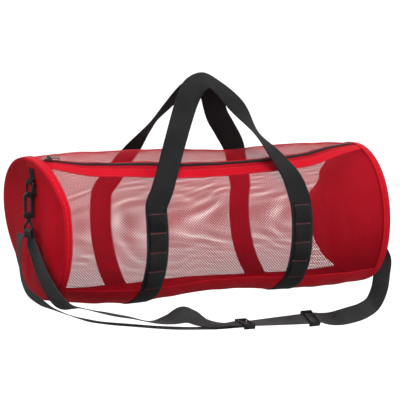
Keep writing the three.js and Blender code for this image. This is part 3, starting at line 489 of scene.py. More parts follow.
WEBBING_WEAVE = webbing_weave_group()
CLOTH_WEAVE = cloth_weave_group()
HANDLED = handled_group()
print("node groups:", len(bpy.data.node_groups))


# %% Material tools
def place_group(tree, group, **values):
    node = tree.nodes.new("ShaderNodeGroup")
    node.node_tree = group
    for label, value in values.items():
        node.inputs[label.replace("_", " ")].default_value = value
    return node.outputs[0]


def new_material(name, **numbers):
    """A material whose constant numbers sit on the shader's own sockets."""
    material = bpy.data.materials.new(name)
    material.use_nodes = True
    shader = material.node_tree.nodes["Principled BSDF"]
    for label, value in numbers.items():
        shader.inputs[label.replace("_", " ")].default_value = value
    return material, material.node_tree, shader


def colour_between(tree, shader, shade, dark, light):
    ramp = tree.nodes.new("ShaderNodeValToRGB")
    ramp.color_ramp.elements[0].position = 0.3
    ramp.color_ramp.elements[1].position = 0.7
    ramp.color_ramp.elements[0].color = (*dark, 1)
    ramp.color_ramp.elements[1].color = (*light, 1)
    tree.links.new(shade, ramp.inputs[0])
    tree.links.new(ramp.outputs[0], shader.inputs["Base Color"])


def raise_surface(tree, shader, height, distance, strength=1.0):
    bump = tree.nodes.new("ShaderNodeBump")
    bump.inputs["Distance"].default_value = distance
    bump.inputs["Strength"].default_value = strength
    tree.links.new(height, bump.inputs["Height"])
    tree.links.new(bump.outputs[0], shader.inputs["Normal"])


def noise_height(tree, scale, detail=2.0):
    place = tree.nodes.new("ShaderNodeTexCoord")
    cloud = tree.nodes.new("ShaderNodeTexNoise")
    cloud.inputs["Scale"].default_value = scale
    cloud.inputs["Detail"].default_value = detail
    tree.links.new(place.outputs["Object"], cloud.inputs["Vector"])
    return cloud.outputs[0]


# %% Materials
def make_material(name, shade, dark, light, height, distance, **numbers):
    """A finish: a colour that handling changes between two, and a fine surface of its own."""
    material, tree, shader = new_material(name, **numbers)
    colour_between(tree, shader, place_group(tree, HANDLED, **shade), dark, light)
    raise_surface(tree, shader, height(tree), distance)
    return material


def noise_of(scale):
    return lambda tree: noise_height(tree, scale)


def weave_of(group, **values):
    return lambda tree: place_group(tree, group, **values)


def creased_weave(tree):
    weave = place_group(tree, CLOTH_WEAVE, Thread=0.0009)
    return calc(tree, "ADD", weave, calc(tree, "MULTIPLY", noise_height(tree, 26, 4.0), 6.0))


def make_webbing_material(name, dark, light, rib_width, sheen):
    return make_material(
        name, dict(Patch_Size=12.0, Dust_Size=300.0, Amount=1.2), dark, light,
        weave_of(WEBBING_WEAVE, Rib_Width=rib_width, Rib_Length=0.0032), 0.0004,
        Roughness=0.7, Sheen_Weight=sheen, Sheen_Roughness=0.45, Specular_IOR_Level=0.12)


def make_thread_material(name, dark, light):
    return make_material(name, dict(Patch_Size=40.0, Amount=0.8), dark, light,
                         noise_of(2500), 0.0001, Roughness=0.6, Sheen_Weight=0.2)


red_net = make_material(
    "red net", dict(Patch_Size=7.0, Amount=0.9), (0.30, 0.003, 0.010), (0.50, 0.008, 0.022),
    noise_of(1800), 0.0002, Roughness=0.65, Specular_IOR_Level=0.08)
red_cloth = make_material(
    "red coated cloth", dict(Patch_Size=5.0, Amount=0.9), (0.50, 0.002, 0.012), (0.68, 0.005, 0.021),
    creased_weave, 0.00025, Roughness=0.6, Specular_IOR_Level=0.08)
black_webbing = make_webbing_material(
    "black webbing", (0.006, 0.006, 0.007), (0.018, 0.018, 0.019), 0.0021, 0.03)
# The strap's webbings are painted lighter than the black webbing, as painted light on the strap's lit face.
# The middle stretch is painted lightest, as painted light and sheen.
strap_middle_lit_webbing = make_webbing_material(
    "strap middle webbing painted lit", (0.036, 0.036, 0.037), (0.076, 0.076, 0.078), 0.0016, 0.08)
strap_lit_webbing = make_webbing_material(
    "strap webbing painted lit", (0.018, 0.018, 0.019), (0.052, 0.052, 0.054), 0.0016, 0.08)
black_plastic = make_material(
    "black moulded plastic", dict(Patch_Size=30.0, Dust_Size=500.0, Amount=1.0), (0.008, 0.008, 0.009),
    (0.02, 0.02, 0.022), noise_of(900), 0.00005, Roughness=0.4, Specular_IOR_Level=0.2)
grey_metal = make_material(
    "grey zip metal", dict(Patch_Size=60.0, Dust_Size=700.0, Amount=1.2), (0.08, 0.08, 0.085),
    (0.22, 0.22, 0.23), noise_of(700), 0.00006, Metallic=1.0, Roughness=0.5)
black_tape = make_material(
    "black zip tape", dict(Patch_Size=12.0, Amount=0.8), (0.010, 0.010, 0.012), (0.028, 0.026, 0.028),
    weave_of(CLOTH_WEAVE, Thread=0.0008), 0.00015, Roughness=0.8, Specular_IOR_Level=0.1)
black_coil = make_material(
    "black zip coil", dict(Patch_Size=20.0, Amount=0.8), (0.012, 0.012, 0.013), (0.035, 0.035, 0.038),
    noise_of(1200), 0.00005, Roughness=0.4)
red_thread = make_thread_material("red thread", (0.42, 0.006, 0.012), (0.75, 0.03, 0.045))
tack_thread = make_thread_material("dark red thread", (0.08, 0.004, 0.008), (0.20, 0.010, 0.018))
black_thread = make_thread_material("black thread", (0.02, 0.02, 0.022), (0.07, 0.07, 0.075))
print("materials:", len(bpy.data.materials))

# %% [markdown]
# ## Net
#
# The net is the main thing one sees, and light passes through both of its walls. A picture of
# a net would have no depth, so its threads are real: a lattice of diamonds lies over the bag's
# surface, and each diamond gets a smaller diamond hole. The threads' middle lines stand a
# little higher than the rims of the holes, so that they shade like round cord.

# %% Net
NET_PITCH = 4.4
NET_THREAD = 1.4
NET_CROWN = 0.45
NET_LIFT = -0.3
NET_LIFT_BY_COIL = -0.2
BAND_START = 15.3
BAND_WIDTH = 23.0
TAPE_FAR = 9.0
COIL_HALF = 3.5
UNDER_BASE = 6.0
TAPE_OVER_NET = 4.0


def net_sheet(name, low_edge, high_edge, lift, nodes=()):
    """Diamond net between two lines along the bag, each a function of the share of its length."""
    half = NET_PITCH / math.sqrt(2)
    shares = np.linspace(0, 1, 200)
    first = math.floor(math.radians(low_edge(shares).min()) * RADIUS / half) - 1
    last = math.ceil(math.radians(high_edge(shares).max()) * RADIUS / half) + 1
    columns = int(LENGTH / half) + 1
    i, j = np.meshgrid(np.arange(0, columns + 1), np.arange(first, last + 1), indexing="ij")
    even = (i + j) % 2 == 0
    i = i[even]
    j = j[even]

    def share_of(step):
        return np.clip(step * half / LENGTH, 0, 1)

    def angle_of(step):
        return np.degrees(step * half / RADIUS)

    share = share_of(i)
    middle = angle_of(j)
    inside = (middle > low_edge(share)) & (middle < high_edge(share))
    i = i[inside]
    j = j[inside]
    ways = [(-1, 0), (0, -1), (1, 0), (0, 1)]
    hole = 1 - NET_THREAD / math.sqrt(2) / half
    span = last - first + 10
    keys = np.stack([(i + di + 2) * span + (j + dj - first + 2) for di, dj in ways], 1)
    unique, index = np.unique(keys, return_inverse=True)
    index = index.reshape(keys.shape)
    corner_i = unique // span - 2
    corner_j = unique % span + first - 2

    def point(step_i, step_j, height):
        at = share_of(step_i)
        angle = np.clip(angle_of(step_j), low_edge(at), high_edge(at))
        return body_point(at, angle, height)

    corners = point(corner_i, corner_j, lift + NET_CROWN)
    holes = np.stack([point(i + di * hole, j + dj * hole, lift) for di, dj in ways], 1).reshape(-1, 3)
    offset = len(corners)
    faces = []
    for cell in range(len(i)):
        rim = offset + 4 * cell
        for k in range(4):
            n = (k + 1) % 4
            faces.append((int(index[cell, k]), int(index[cell, n]), rim + n, rim + k))
    mesh = mesh_of(name, placed(np.concatenate([corners, holes])), faces)
    link_piece(name, mesh, red_net, nodes)
    print(name, "cells:", len(i), "triangles:", 2 * len(faces))


def beside_zip(distance):
    """Line on the near side of the zip, this far from its middle."""
    return lambda share: zip_angle(share) + arc(distance)


def past_zip(share):
    """The far net starts under the far tape, once round from the zip."""
    return 360 + zip_angle(share) - arc(TAPE_FAR - TAPE_OVER_NET)


def along_base(angle):
    return lambda share: np.full(np.shape(share), angle)


near_net = (beside_zip(BAND_START + BAND_WIDTH - 2), along_base(BASE_NEAR + arc(UNDER_BASE)))
far_net = (along_base(BASE_FAR - arc(UNDER_BASE)), past_zip)
net_by_coil = (beside_zip(COIL_HALF + 1.0), beside_zip(BAND_START + 1.5))
net_sheet("net_near", *near_net, NET_LIFT, ["mesh_body"])
net_sheet("net_far", *far_net, NET_LIFT, ["mesh_body"])
net_sheet("net_over_tape", *net_by_coil, NET_LIFT_BY_COIL, ["mesh_body"])

# %% [markdown]
# ## Cloth: base, ends and bindings
#
# These are plain coated cloth. The base is a strip sewn under the net, the left end is pushed
# out a little, and the right end has slumped into the bag and shows through the net. Each is a
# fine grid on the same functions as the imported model, with small creases added that fade out
# toward its seams.


# %% Base panel
def shares_along(start, end, steps):
    return np.linspace(start / LENGTH, end / LENGTH, steps)


def sheet_points(shares, low, high, columns, height):
    """Grid of body points between two angles that may depend on the share."""
    weight = np.linspace(0, 1, columns)
    low_edge = np.broadcast_to(low(shares) if callable(low) else low, shares.shape)
    high_edge = np.broadcast_to(high(shares) if callable(high) else high, shares.shape)
    angles = low_edge[:, None] * (1 - weight) + high_edge[:, None] * weight
    return body_point(shares[:, None], angles, height)


def crease_noise(points, size, amount):
    """Soft random creases, as heights for each point. The pattern is fixed in space."""
    flat = points.reshape(-1, 3) / size
    heights = [noise.noise(Vector(place)) for place in flat]
    return np.array(heights).reshape(points.shape[:-1]) * amount


BASE_ROWS = 190
BASE_COLUMNS = 48
BASE_CREASE_SIZE = 38.0
BASE_CREASE = 1.6


def make_base():
    shares = shares_along(BINDING_WIDTH - 1, LENGTH - BINDING_WIDTH + 1, BASE_ROWS)
    flat = sheet_points(shares, BASE_NEAR, BASE_FAR, BASE_COLUMNS, 0)
    fade = np.sin(np.linspace(0, math.pi, BASE_COLUMNS)) ** 0.5
    creases = crease_noise(flat * np.array([1.0, 1.6, 1.6]), BASE_CREASE_SIZE, BASE_CREASE) * fade
    height = CLEAR + BASE_THICK + np.clip(creases, -0.9, 2.4)
    points = sheet_points(shares, BASE_NEAR, BASE_FAR, BASE_COLUMNS, height)
    grid_sheet("base_cloth", points, 1.0, red_cloth, ["base_panel"])


make_base()

# %% End panels
# y, z, half width, half height, height: places are shares of RADIUS, heights of the dome or slump
LEFT_FOLDS = [
    (-0.55, 0.10, 0.25, 0.70, 0.35),
    (0.10, -0.45, 0.50, 0.30, -0.40),
    (-0.35, -0.65, 0.35, 0.20, 0.40),
]
RIGHT_FOLDS = [
    (0.55, 0.42, 0.40, 0.22, -0.22),
    (0.55, 0.10, 0.40, 0.25, 0.12),
    (-0.40, -0.20, 0.30, 0.50, -0.15),
]


def fold_height(folds, y, z):
    height = 0
    for fold_y, fold_z, half_width, half_height, share in folds:
        away = np.hypot((y / RADIUS - fold_y) / half_width, (z / RADIUS - fold_z) / half_height)
        height = height + share * soft_bump(away)
    return height


def panel_point(side, reach, angle):
    """A point of an end panel's inner face: share of the rim's radius, degrees from the top."""
    share = 0.0 if side < 0 else 1.0
    radius = (body_radius(np.full_like(angle, share), angle) - PANEL_FLANGE) * reach
    y = -radius * np.sin(np.radians(angle))
    z = radius * np.cos(np.radians(angle))
    if side < 0:
        rim = LEFT_SEAM - body_point(0.0, angle, 0)[..., 0]
        dome = LEFT_DOME * (1 - reach ** 2)
        out = CLEAR + rim * reach ** 3 + dome + LEFT_DOME * fold_height(LEFT_FOLDS, y, z) * (1 - reach ** 4)
    else:
        out = CLEAR - RIGHT_SLUMP * (1 - reach ** 4) * (1 + fold_height(RIGHT_FOLDS, y, z))
    seam = LEFT_SEAM if side < 0 else RIGHT_SEAM
    return np.stack([seam + side * out, y, z], -1)


def panel_face(side, y, z):
    """The outer face of an end panel at a sideways place and a height."""
    angle = np.degrees(np.arctan2(-y, z)) * np.ones(1)
    share = np.zeros(1) if side < 0 else np.ones(1)
    reach = np.hypot(y, z) / (body_radius(share, angle) - PANEL_FLANGE)
    return float(panel_point(side, reach, angle)[0, 0]) + side * PANEL_THICK


PANEL_CREASE_SIZE = 30.0
PANEL_CREASE = 2.4
# Creases fade within this distance of a ring tab, so that the tab lies flat on its panel
TAB_CALM = 32.0
# The binding's edges are this share of its full thickness, and the panel's rim lies under them
BINDING_EDGE = 0.55


def make_end_panel(name, side):
    angles = np.linspace(0, 360, 145)
    reaches = np.concatenate([np.linspace(1, 0.9, 5), np.linspace(0.88, 0.02, 30)])
    reach, angle = np.meshgrid(reaches, angles, indexing="ij")
    points = panel_point(side, reach, angle)
    low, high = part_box("ring_tab_left" if side < 0 else "ring_tab_right")
    tab = (np.array(low) + np.array(high)) * 500
    from_tab = np.hypot(points[..., 1] - tab[1], points[..., 2] - tab[2] - GRIP_HEIGHT)
    fade = np.clip((1 - reach) * 8, 0, 1) * np.clip(reach * 6, 0, 1) * np.clip(from_tab / TAB_CALM - 1, 0, 1)
    creases = crease_noise(points * np.array([1, 1.0, 0.45]), PANEL_CREASE_SIZE, PANEL_CREASE)
    points[..., 0] += creases * fade
    points[..., 0] += side * PANEL_THICK
    share = 0.0 if side < 0 else 1.0
    around = np.full_like(angles, share)
    flange = body_radius(around, angles) + ripple(around, angles) + CLEAR + BINDING_THICK * BINDING_EDGE
    rim = points[0].copy()
    rim[:, 1] = -flange * np.sin(np.radians(angles))
    rim[:, 2] = flange * np.cos(np.radians(angles))
    points = np.concatenate([rim[None], points])
    grid_sheet(name + "_cloth", points, PANEL_THICK * 0.8, red_cloth, [name], flip=side > 0)


make_end_panel("end_panel_left", -1)
make_end_panel("end_panel_right", 1)


# %% Bindings
# The tape wraps a little past the seam, so no gap shows between it and the end panel
BINDING_WRAP = 2.4


def make_binding(name, start, end):
    across = np.linspace(0, 1, 9)
    crown = BINDING_EDGE + (1 - BINDING_EDGE) * np.sin(np.pi * across) ** 0.4
    shares = (start + (end - start) * across) / LENGTH
    angles = np.linspace(0, 360, 241)
    puckers = 0.25 * np.sin(np.radians(angles) * 70)[None, :] * np.sin(np.pi * across)[:, None]
    heights = CLEAR + BINDING_THICK * crown[:, None] + puckers
    points = body_point(shares[:, None], angles[None, :], heights)
    grid_sheet(name + "_tape", points, BINDING_THICK * 0.5, red_cloth, [name])


make_binding("rim_binding_left", -BINDING_WRAP, BINDING_WIDTH)
make_binding("rim_binding_right", LENGTH - BINDING_WIDTH, LENGTH + BINDING_WRAP)

# %% [markdown]
# ## Zip
#
# A coil zip is two tapes with a spiral of nylon along their joint. Black tape shows only beside
# the coil. Red facing lies past it, dark under the net, and a bright red band covers the seam
# below that. The coil's turns are short bars in two rows that mesh, one for each side.

# %% Zip
COIL_PITCH = 2.4
COIL_THICK = 2.0
COIL_TURNS = int((LENGTH - 2 * BINDING_WIDTH - 2) / COIL_PITCH)
COIL_ROW = 0.42
TAPE_SHOWN = 4.4
TAPE_HEIGHT = -0.7
TAPE_THICK = 0.6
BAND_HEIGHT = 0.9
BAND_THICK = 1.0


def zip_strip(name, low, high, columns, height, thickness, material, nodes):
    shares = shares_along(BINDING_WIDTH, LENGTH - BINDING_WIDTH, 170)
    points = sheet_points(shares, lambda s: zip_angle(s) + arc(low), lambda s: zip_angle(s) + arc(high),
                          columns, height)
    grid_sheet(name, points, thickness, material, nodes)


def bars(name, centres, along, across, up, sizes, material, nodes=()):
    """Many small blunt bars in one mesh, each with its own place and directions."""
    shape = np.array([
        (-1, 0, 0), (-0.72, -1, -0.6), (-0.72, 1, -0.6), (-0.72, 0, 1),
        (0.72, -1, -0.6), (0.72, 1, -0.6), (0.72, 0, 1), (1, 0, 0),
    ]) * np.array(sizes) / 2
    solid = [(0, 2, 1), (0, 3, 2), (0, 1, 3), (7, 4, 5), (7, 5, 6), (7, 6, 4),
             (1, 2, 5, 4), (2, 3, 6, 5), (3, 1, 4, 6)]
    points = (centres[:, None, :] + shape[None, :, 0, None] * along[:, None, :]
              + shape[None, :, 1, None] * across[:, None, :] + shape[None, :, 2, None] * up[:, None, :])
    faces = []
    for k in range(len(centres)):
        faces += [tuple(8 * k + corner for corner in face) for face in solid]
    mesh = mesh_of(name, placed(points.reshape(-1, 3)), faces)
    link_piece(name, mesh, material, nodes)


def unit(vectors):
    return vectors / np.maximum(np.linalg.norm(vectors, axis=-1, keepdims=True), 1e-9)


def directions_on_body(share, angle):
    """Directions along the bag, round it and out of it at points on it."""
    step = 0.002
    here = body_point(share, angle, 0)
    along = unit(body_point(share + step, angle, 0) - body_point(share - step, angle, 0))
    round_it = unit(body_point(share, angle + 0.5, 0) - body_point(share, angle - 0.5, 0))
    up = unit(np.cross(round_it, along))
    return here, along, round_it, up


def make_zip():
    zip_strip("zip_tape_cloth", -TAPE_SHOWN, TAPE_SHOWN, 8, TAPE_HEIGHT, TAPE_THICK,
              black_tape, ["zip_tape"])
    facings = (("far", -TAPE_FAR, -TAPE_SHOWN, 4), ("near", TAPE_SHOWN, BAND_START + 2, 8))
    for word, low, high, columns in facings:
        zip_strip(f"zip_tape_facing_{word}", low, high, columns, TAPE_HEIGHT, TAPE_THICK,
                  red_cloth, ["zip_tape"])
    zip_strip("zip_band_cloth", BAND_START, BAND_START + BAND_WIDTH, 12, BAND_HEIGHT, BAND_THICK,
              red_cloth, ["zip_band_near"])
    turn_size = (COIL_HALF * 1.25, COIL_PITCH * 0.62, COIL_THICK * 0.9)
    for word, side in (("far", -1), ("near", 1)):
        share = (BINDING_WIDTH + 2 + COIL_PITCH * (np.arange(COIL_TURNS) + 0.25 * side)) / LENGTH
        angle = zip_angle(share) + arc(side * COIL_HALF * COIL_ROW)
        here, along, round_it, up = directions_on_body(share, angle)
        centres = here + up * (CLEAR + COIL_THICK * 0.45)
        bars(f"zip_coil_{word}", centres, round_it, along, up, turn_size, black_coil,
             ["zip_chain"])


make_zip()
for zip_node in ("zip_slider", "zip_pull"):
    refinish(zip_node, grey_metal)
print("zip coil turns each side:", COIL_TURNS)

# %% [markdown]
# ## Webbing rings and daisy chains
#
# The rings are 50 mm webbing sewn round the bag, so they are sheets on its surface with a
# thickness of their own. On the near side a narrower webbing is tacked over each at even
# steps, standing off between the tacks, which makes loops to clip things to.


# %% Rings
# Each ring runs a little way under its handle's root
RING_UNDER = 1.5
RING_PLACES = (("left", -RING_SPACING / 2), ("right", RING_SPACING / 2))


def shares_round(x, width, steps):
    return np.linspace(x - width / 2 - LEFT_SEAM, x + width / 2 - LEFT_SEAM, steps) / LENGTH


def ring_top_height(angle):
    """Top of a ring's webbing above the bag. It climbs a little where it crosses the base."""
    over_base = np.clip((angle - BASE_NEAR) / 2 + 0.5, 0, 1) * np.clip((BASE_FAR - angle) / 2 + 0.5, 0, 1)
    return CLEAR + WEBBING_THICK + (CLEAR + BASE_THICK) * over_base


def make_ring(name, x):
    shares = shares_round(x, WEBBING_WIDTH, 15)
    edge = np.linspace(-1, 1, 15)
    angles = np.linspace(RING_END - arc(RING_UNDER), 360 - RING_END + arc(RING_UNDER), 260)
    height = ring_top_height(angles)[:, None] - 0.7 * np.abs(edge) ** 10
    points = body_point(shares[None, :], angles[:, None], height)
    grid_sheet(name + "_webbing", points, WEBBING_THICK - 0.3, black_webbing, [name],
               flip=True)


for ring_word, ring_x in RING_PLACES:
    make_ring(f"webbing_ring_{ring_word}", ring_x)

# %% Daisy chains
DAISY_WIDTH = 38.0
DAISY_THICK = 1.5
DAISY_PITCH = 40.0
DAISY_LOOPS = 4
DAISY_BULGE = 3.0
DAISY_START = 4.0


def daisy_seat(angle):
    """Underside of the daisy chain above the bag, on the ring and then on ring and base."""
    t = np.clip((angle - (BASE_NEAR - arc(DAISY_PITCH))) / (arc(DAISY_PITCH) - 2), 0, 1)
    on_base = t * t * (3 - 2 * t)
    return 2 * CLEAR + WEBBING_THICK + on_base * (CLEAR + BASE_THICK) + 0.3


def make_daisy_chain(name, x):
    shares = shares_round(x, DAISY_WIDTH, 11)
    edge = np.linspace(-1, 1, 11)
    along = np.linspace(0, 1, 24 * DAISY_LOOPS + 1)
    angles = RING_END + arc(DAISY_START) + arc(DAISY_PITCH) * DAISY_LOOPS * along
    bulge = DAISY_BULGE * np.abs(np.sin(np.pi * DAISY_LOOPS * along))
    height = (daisy_seat(angles) + bulge)[:, None] + DAISY_THICK - 0.5 * np.abs(edge) ** 10
    points = body_point(shares[None, :], angles[:, None], height)
    grid_sheet(name + "_webbing", points, DAISY_THICK - 0.2, black_webbing, [name],
               flip=True)


for ring_word, ring_x in RING_PLACES:
    make_daisy_chain(f"daisy_chain_{ring_word}", ring_x)

# %% [markdown]
# ## Handles
#
# Free webbing keeps its width and bends only as a strip can, so each handle is a flat section
# carried along a smooth route, with a direction across the strip at every place. The routes'
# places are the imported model's, and the curve between them is taken in finer steps.

# %% Handle tables
# x, y, z as shares of half the ring spacing, RADIUS and GRIP_HEIGHT, then the way across
FRONT_HANDLE = [
    (-0.905, -0.890, 0.262, 0.97, 0.00, -0.25),
    (-0.784, -0.772, 0.375, 0.92, -0.05, -0.39),
    (-0.591, -0.560, 0.554, 0.87, -0.10, -0.50),
    (-0.269, -0.262, 0.849, 0.80, -0.30, -0.52),
    (-0.129, -0.170, 0.925, 0.42, -0.68, -0.60),
    (0.030, -0.143, 0.950, 0.00, -0.78, -0.63),
    (0.193, -0.183, 0.893, -0.48, -0.70, -0.52),
    (0.380, -0.315, 0.778, -0.75, -0.50, -0.43),
    (0.579, -0.500, 0.600, -0.60, -0.78, 0.05),
    (0.749, -0.640, 0.475, -0.85, -0.45, 0.10),
    (0.925, -0.820, 0.320, -0.98, -0.10, 0.10),
]
BACK_HANDLE = [
    (-0.900, 0.890, 0.262, 0.97, 0.00, -0.20),
    (-0.819, 0.800, 0.350, 0.90, 0.20, -0.30),
    (-0.684, 0.640, 0.477, 0.80, 0.40, -0.30),
    (-0.561, 0.520, 0.588, 0.60, 0.70, -0.25),
    (-0.462, 0.425, 0.671, 0.50, 0.80, -0.20),
    (-0.287, 0.308, 0.790, 0.58, 0.70, -0.30),
    (-0.130, 0.185, 0.897, 0.33, 0.76, -0.56),
    (0.035, 0.143, 0.935, 0.00, 0.80, -0.60),
    (0.195, 0.190, 0.895, -0.40, 0.74, -0.54),
    (0.409, 0.390, 0.690, -0.85, 0.25, -0.45),
    (0.550, 0.490, 0.600, -0.92, 0.10, -0.38),
    (0.790, 0.690, 0.445, -0.95, 0.00, -0.30),
    (0.915, 0.870, 0.290, -0.98, 0.00, -0.15),
]


# %% Ribbon tools
def smooth_curve(points, steps_each):
    """A centripetal curve through points, with the same number of steps between each two."""
    points = np.array(points, float)
    whole = np.concatenate([[2 * points[0] - points[1]], points, [2 * points[-1] - points[-2]]])
    curve = []
    for k in range(len(points) - 1):
        p0, p1, p2, p3 = whole[k:k + 4]
        gaps = [np.linalg.norm(b - a) ** 0.5 for a, b in ((p0, p1), (p1, p2), (p2, p3))]
        gaps[1] = gaps[1] if gaps[1] > 1e-4 else 1.0
        gaps = [gap if gap > 1e-4 else gaps[1] for gap in gaps]
        d0, d1, d2 = gaps
        t1 = ((p1 - p0) / d0 - (p2 - p0) / (d0 + d1) + (p2 - p1) / d1) * d1
        t2 = ((p2 - p1) / d1 - (p3 - p1) / (d1 + d2) + (p3 - p2) / d2) * d1
        last = k == len(points) - 2
        for step in range(steps_each + (1 if last else 0)):
            t = step / steps_each
            bend = (-3 * p1 + 3 * p2 - 2 * t1 - t2) * t ** 2 + (2 * p1 - 2 * p2 + t1 + t2) * t ** 3
            curve.append(p1 + t1 * t + bend)
    return np.array(curve)


def route_of(places, steps_each=10):
    """Points, across, along and up of a strip through places given as (at, across, along or None)."""
    at = smooth_curve([place[0] for place in places], steps_each)
    across = unit(smooth_curve([unit(np.array(place[1], float)) for place in places], steps_each))
    along = np.gradient(at, axis=0)
    for end, place in ((0, places[0]), (-1, places[-1])):
        if place[2] is not None:
            along[end] = place[2]
    along = unit(along)
    across = unit(across - along * np.sum(along * across, axis=1, keepdims=True))
    return at, across, along, np.cross(along, across)


def strip_section(width, thickness):
    """A flat section with soft edges, as points across and up."""
    half = width / 2
    top = [(half * s, thickness / 2 * (1 - 0.35 * abs(s) ** 8)) for s in np.linspace(-0.985, 0.985, 13)]
    right = [(half, thickness * 0.2), (half, -thickness * 0.2)]
    bottom = [(x, -y) for x, y in reversed(top)]
    left = [(-half, -thickness * 0.2), (-half, thickness * 0.2)]
    return np.array(top + right + bottom + left)


def swept(name, route, section, material, nodes=(), closed=False):
    """A section carried along a route, with a map in metres."""
    at, across, along, up = route
    points = placed(at[:, None, :] + section[None, :, 0, None] * across[:, None, :]
                    + section[None, :, 1, None] * up[:, None, :])
    walked = distances(placed(at)[None], 1)[0]
    maps = np.stack([np.broadcast_to(section[:, 0] / 1000, points.shape[:2]),
                     np.broadcast_to(walked[:, None], points.shape[:2])], -1).reshape(-1, 2)
    rows, columns = points.shape[:2]
    faces = []
    for r in range(rows if closed else rows - 1):
        for c in range(columns):
            a, b = r * columns + c, r * columns + (c + 1) % columns
            n = (r + 1) % rows * columns - r * columns
            faces.append((a, b, b + n, a + n))
    if not closed:
        faces.append(tuple(range(columns))[::-1])
        faces.append(tuple((rows - 1) * columns + c for c in range(columns)))
    mesh = mesh_of(name, points.reshape(-1, 3), faces, maps)
    mesh_tool = bmesh.new()
    mesh_tool.from_mesh(mesh)
    bmesh.ops.recalc_face_normals(mesh_tool, faces=mesh_tool.faces)
    mesh_tool.to_mesh(mesh)
    mesh_tool.free()
    link_piece(name, mesh, material, nodes)


# %% Handles
ROOT_RISE = 14.0
ROOT_LEAN = 2.5
ROOT_TURN = 0.14


def handle_root(x, angle, across_x):
    """Where a handle leaves its ring: a place on the bag and one just above it."""
    share = (x - LEFT_SEAM) / LENGTH
    on_side = 1 if angle < 180 else -1
    start = angle - on_side * arc(3 * CLEAR)
    lift = CLEAR + WEBBING_THICK / 2
    root = body_point(share, start, lift)
    following = body_point(share, start - on_side * arc(ROOT_RISE), lift + 1)
    following = following + np.array([across_x * ROOT_LEAN, 0, 0])
    turn = math.radians(angle)
    along = np.array([0, on_side * math.cos(turn), abs(math.sin(turn))]) * across_x
    across = np.array([across_x, 0, 0], float)
    turned = np.array([across_x, 0, -ROOT_TURN])
    return [(root, across, along), (following, turned, None)]


def table_places(table, unit_x, unit_y, unit_z):
    return [(np.array([x * unit_x, y * unit_y, z * unit_z]), np.array(way), None) for x, y, z, *way in table]


def make_handle(name, table, angle):
    half = RING_SPACING / 2
    left = handle_root(-half, angle, 1)
    right = handle_root(half, angle, -1)
    free = table_places(table, half, RADIUS, GRIP_HEIGHT)
    route = route_of(left + free + right[::-1])
    swept(name + "_webbing", route, strip_section(WEBBING_WIDTH, WEBBING_THICK), black_webbing,
          [name])
    print(name, "length:", round(float(distances(route[0][None], 1)[0, -1])), "mm")


make_handle("front_handle", FRONT_HANDLE, RING_END)
make_handle("back_handle", BACK_HANDLE, 360 - RING_END)

# %% [markdown]
# ## Rings, hooks and swivels
#
# The end fittings are moulded plastic with rounded edges. A wire's round section is swept
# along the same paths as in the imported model, with more steps, and the hook's bow is a rounded
# bar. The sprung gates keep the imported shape, because it is what turns.

# %% Hardware
RING_WIDTH = 34.0
RING_DROP = 31.0
RING_WIRE = 5.0
RING_TILT = 8.0
HOOK_CROWN = 82.0
HOOK_WIDTH = 16.0
HOOK_BAR = 7.0
HOOK_DEPTH = 9.0
HOOK_BASE_TOP = 46.0
HOOK_BASE_FOOT = 34.0
NOSE_DROP = 4.0
BOW_CORNER = 2.2
BASE_CORNER = 2.4
SWIVEL_COLLAR = 10.0
SWIVEL_FOOT = 6.0
SWIVEL_WIDTH = 46.0
SWIVEL_WIRE = 5.0
SWIVEL_SHOULDER = 9.0
SWIVEL_NECK = 9.0
SWIVEL_TOP_HALF = 8.0
SWIVEL_BEND = 2.2
TAB_WIDTH = 26.0
TAB_SEWN = 20.0
TAB_LEAD = 5.0
TAB_GAP = 0.5


def hardware_place(word):
    """The hook's middle line, in millimetres about the bag's middle, and the way out of the bag."""
    low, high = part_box(f"hook_{word}")
    middle = (np.array(low) + np.array(high)) / 2 * 1000
    return np.array([middle[0], middle[1], 0.0]), (-1 if word == "left" else 1)


def arc_path(centre_x, centre_y, radius, start, end, steps):
    turns = np.radians(np.linspace(start, end, steps + 1))
    return [(centre_x + radius * math.cos(t), centre_y + radius * math.sin(t)) for t in turns]


def local_points(word, points):
    """Points of a fitting's own frame, with x out of the bag, in the bag's frame."""
    origin, side = hardware_place(word)
    return origin + np.asarray(points, float) * np.array([side, side, 1])


def round_section(radius, sides=16):
    turns = np.arange(sides) * 2 * math.pi / sides
    return np.stack([np.cos(turns), np.sin(turns)], -1) * radius


def block_section(width, height, corner, steps=4):
    """A rectangle with round corners."""
    outline = []
    for quarter, (sx, sy) in enumerate(((1, 1), (-1, 1), (-1, -1), (1, -1))):
        turns = np.radians(quarter * 90 + np.linspace(0, 90, steps + 1))
        for t in turns:
            outline.append((sx * (width / 2 - corner) + corner * math.cos(t),
                            sy * (height / 2 - corner) + corner * math.sin(t)))
    return np.array(outline)


def closed_route(points, normal):
    along = unit(np.roll(points, -1, axis=0) - np.roll(points, 1, axis=0))
    up = np.broadcast_to(unit(np.array(normal, float)), points.shape)
    across = unit(np.cross(up, along))
    return points, across, along, up


def open_route(points, across):
    along = unit(np.gradient(points, axis=0))
    across = np.broadcast_to(unit(np.array(across, float)), points.shape)
    return points, across, along, np.cross(along, across)


def rounded_path(corners, radius, steps=6):
    """A closed path through corners, each turned with a radius."""
    corners = np.array(corners, float)
    path = []
    for k, corner in enumerate(corners):
        to_before = unit(corners[k - 1] - corner)
        to_after = unit(corners[(k + 1) % len(corners)] - corner)
        opening = math.acos(float(np.clip(to_before @ to_after, -1, 1)))
        reach = radius / math.tan(opening / 2)
        for t in np.linspace(0, 1, steps + 1):
            start = corner + to_before * reach
            end = corner + to_after * reach
            path.append(start * (1 - t) ** 2 + corner * 2 * t * (1 - t) + end * t ** 2)
    return np.array(path)


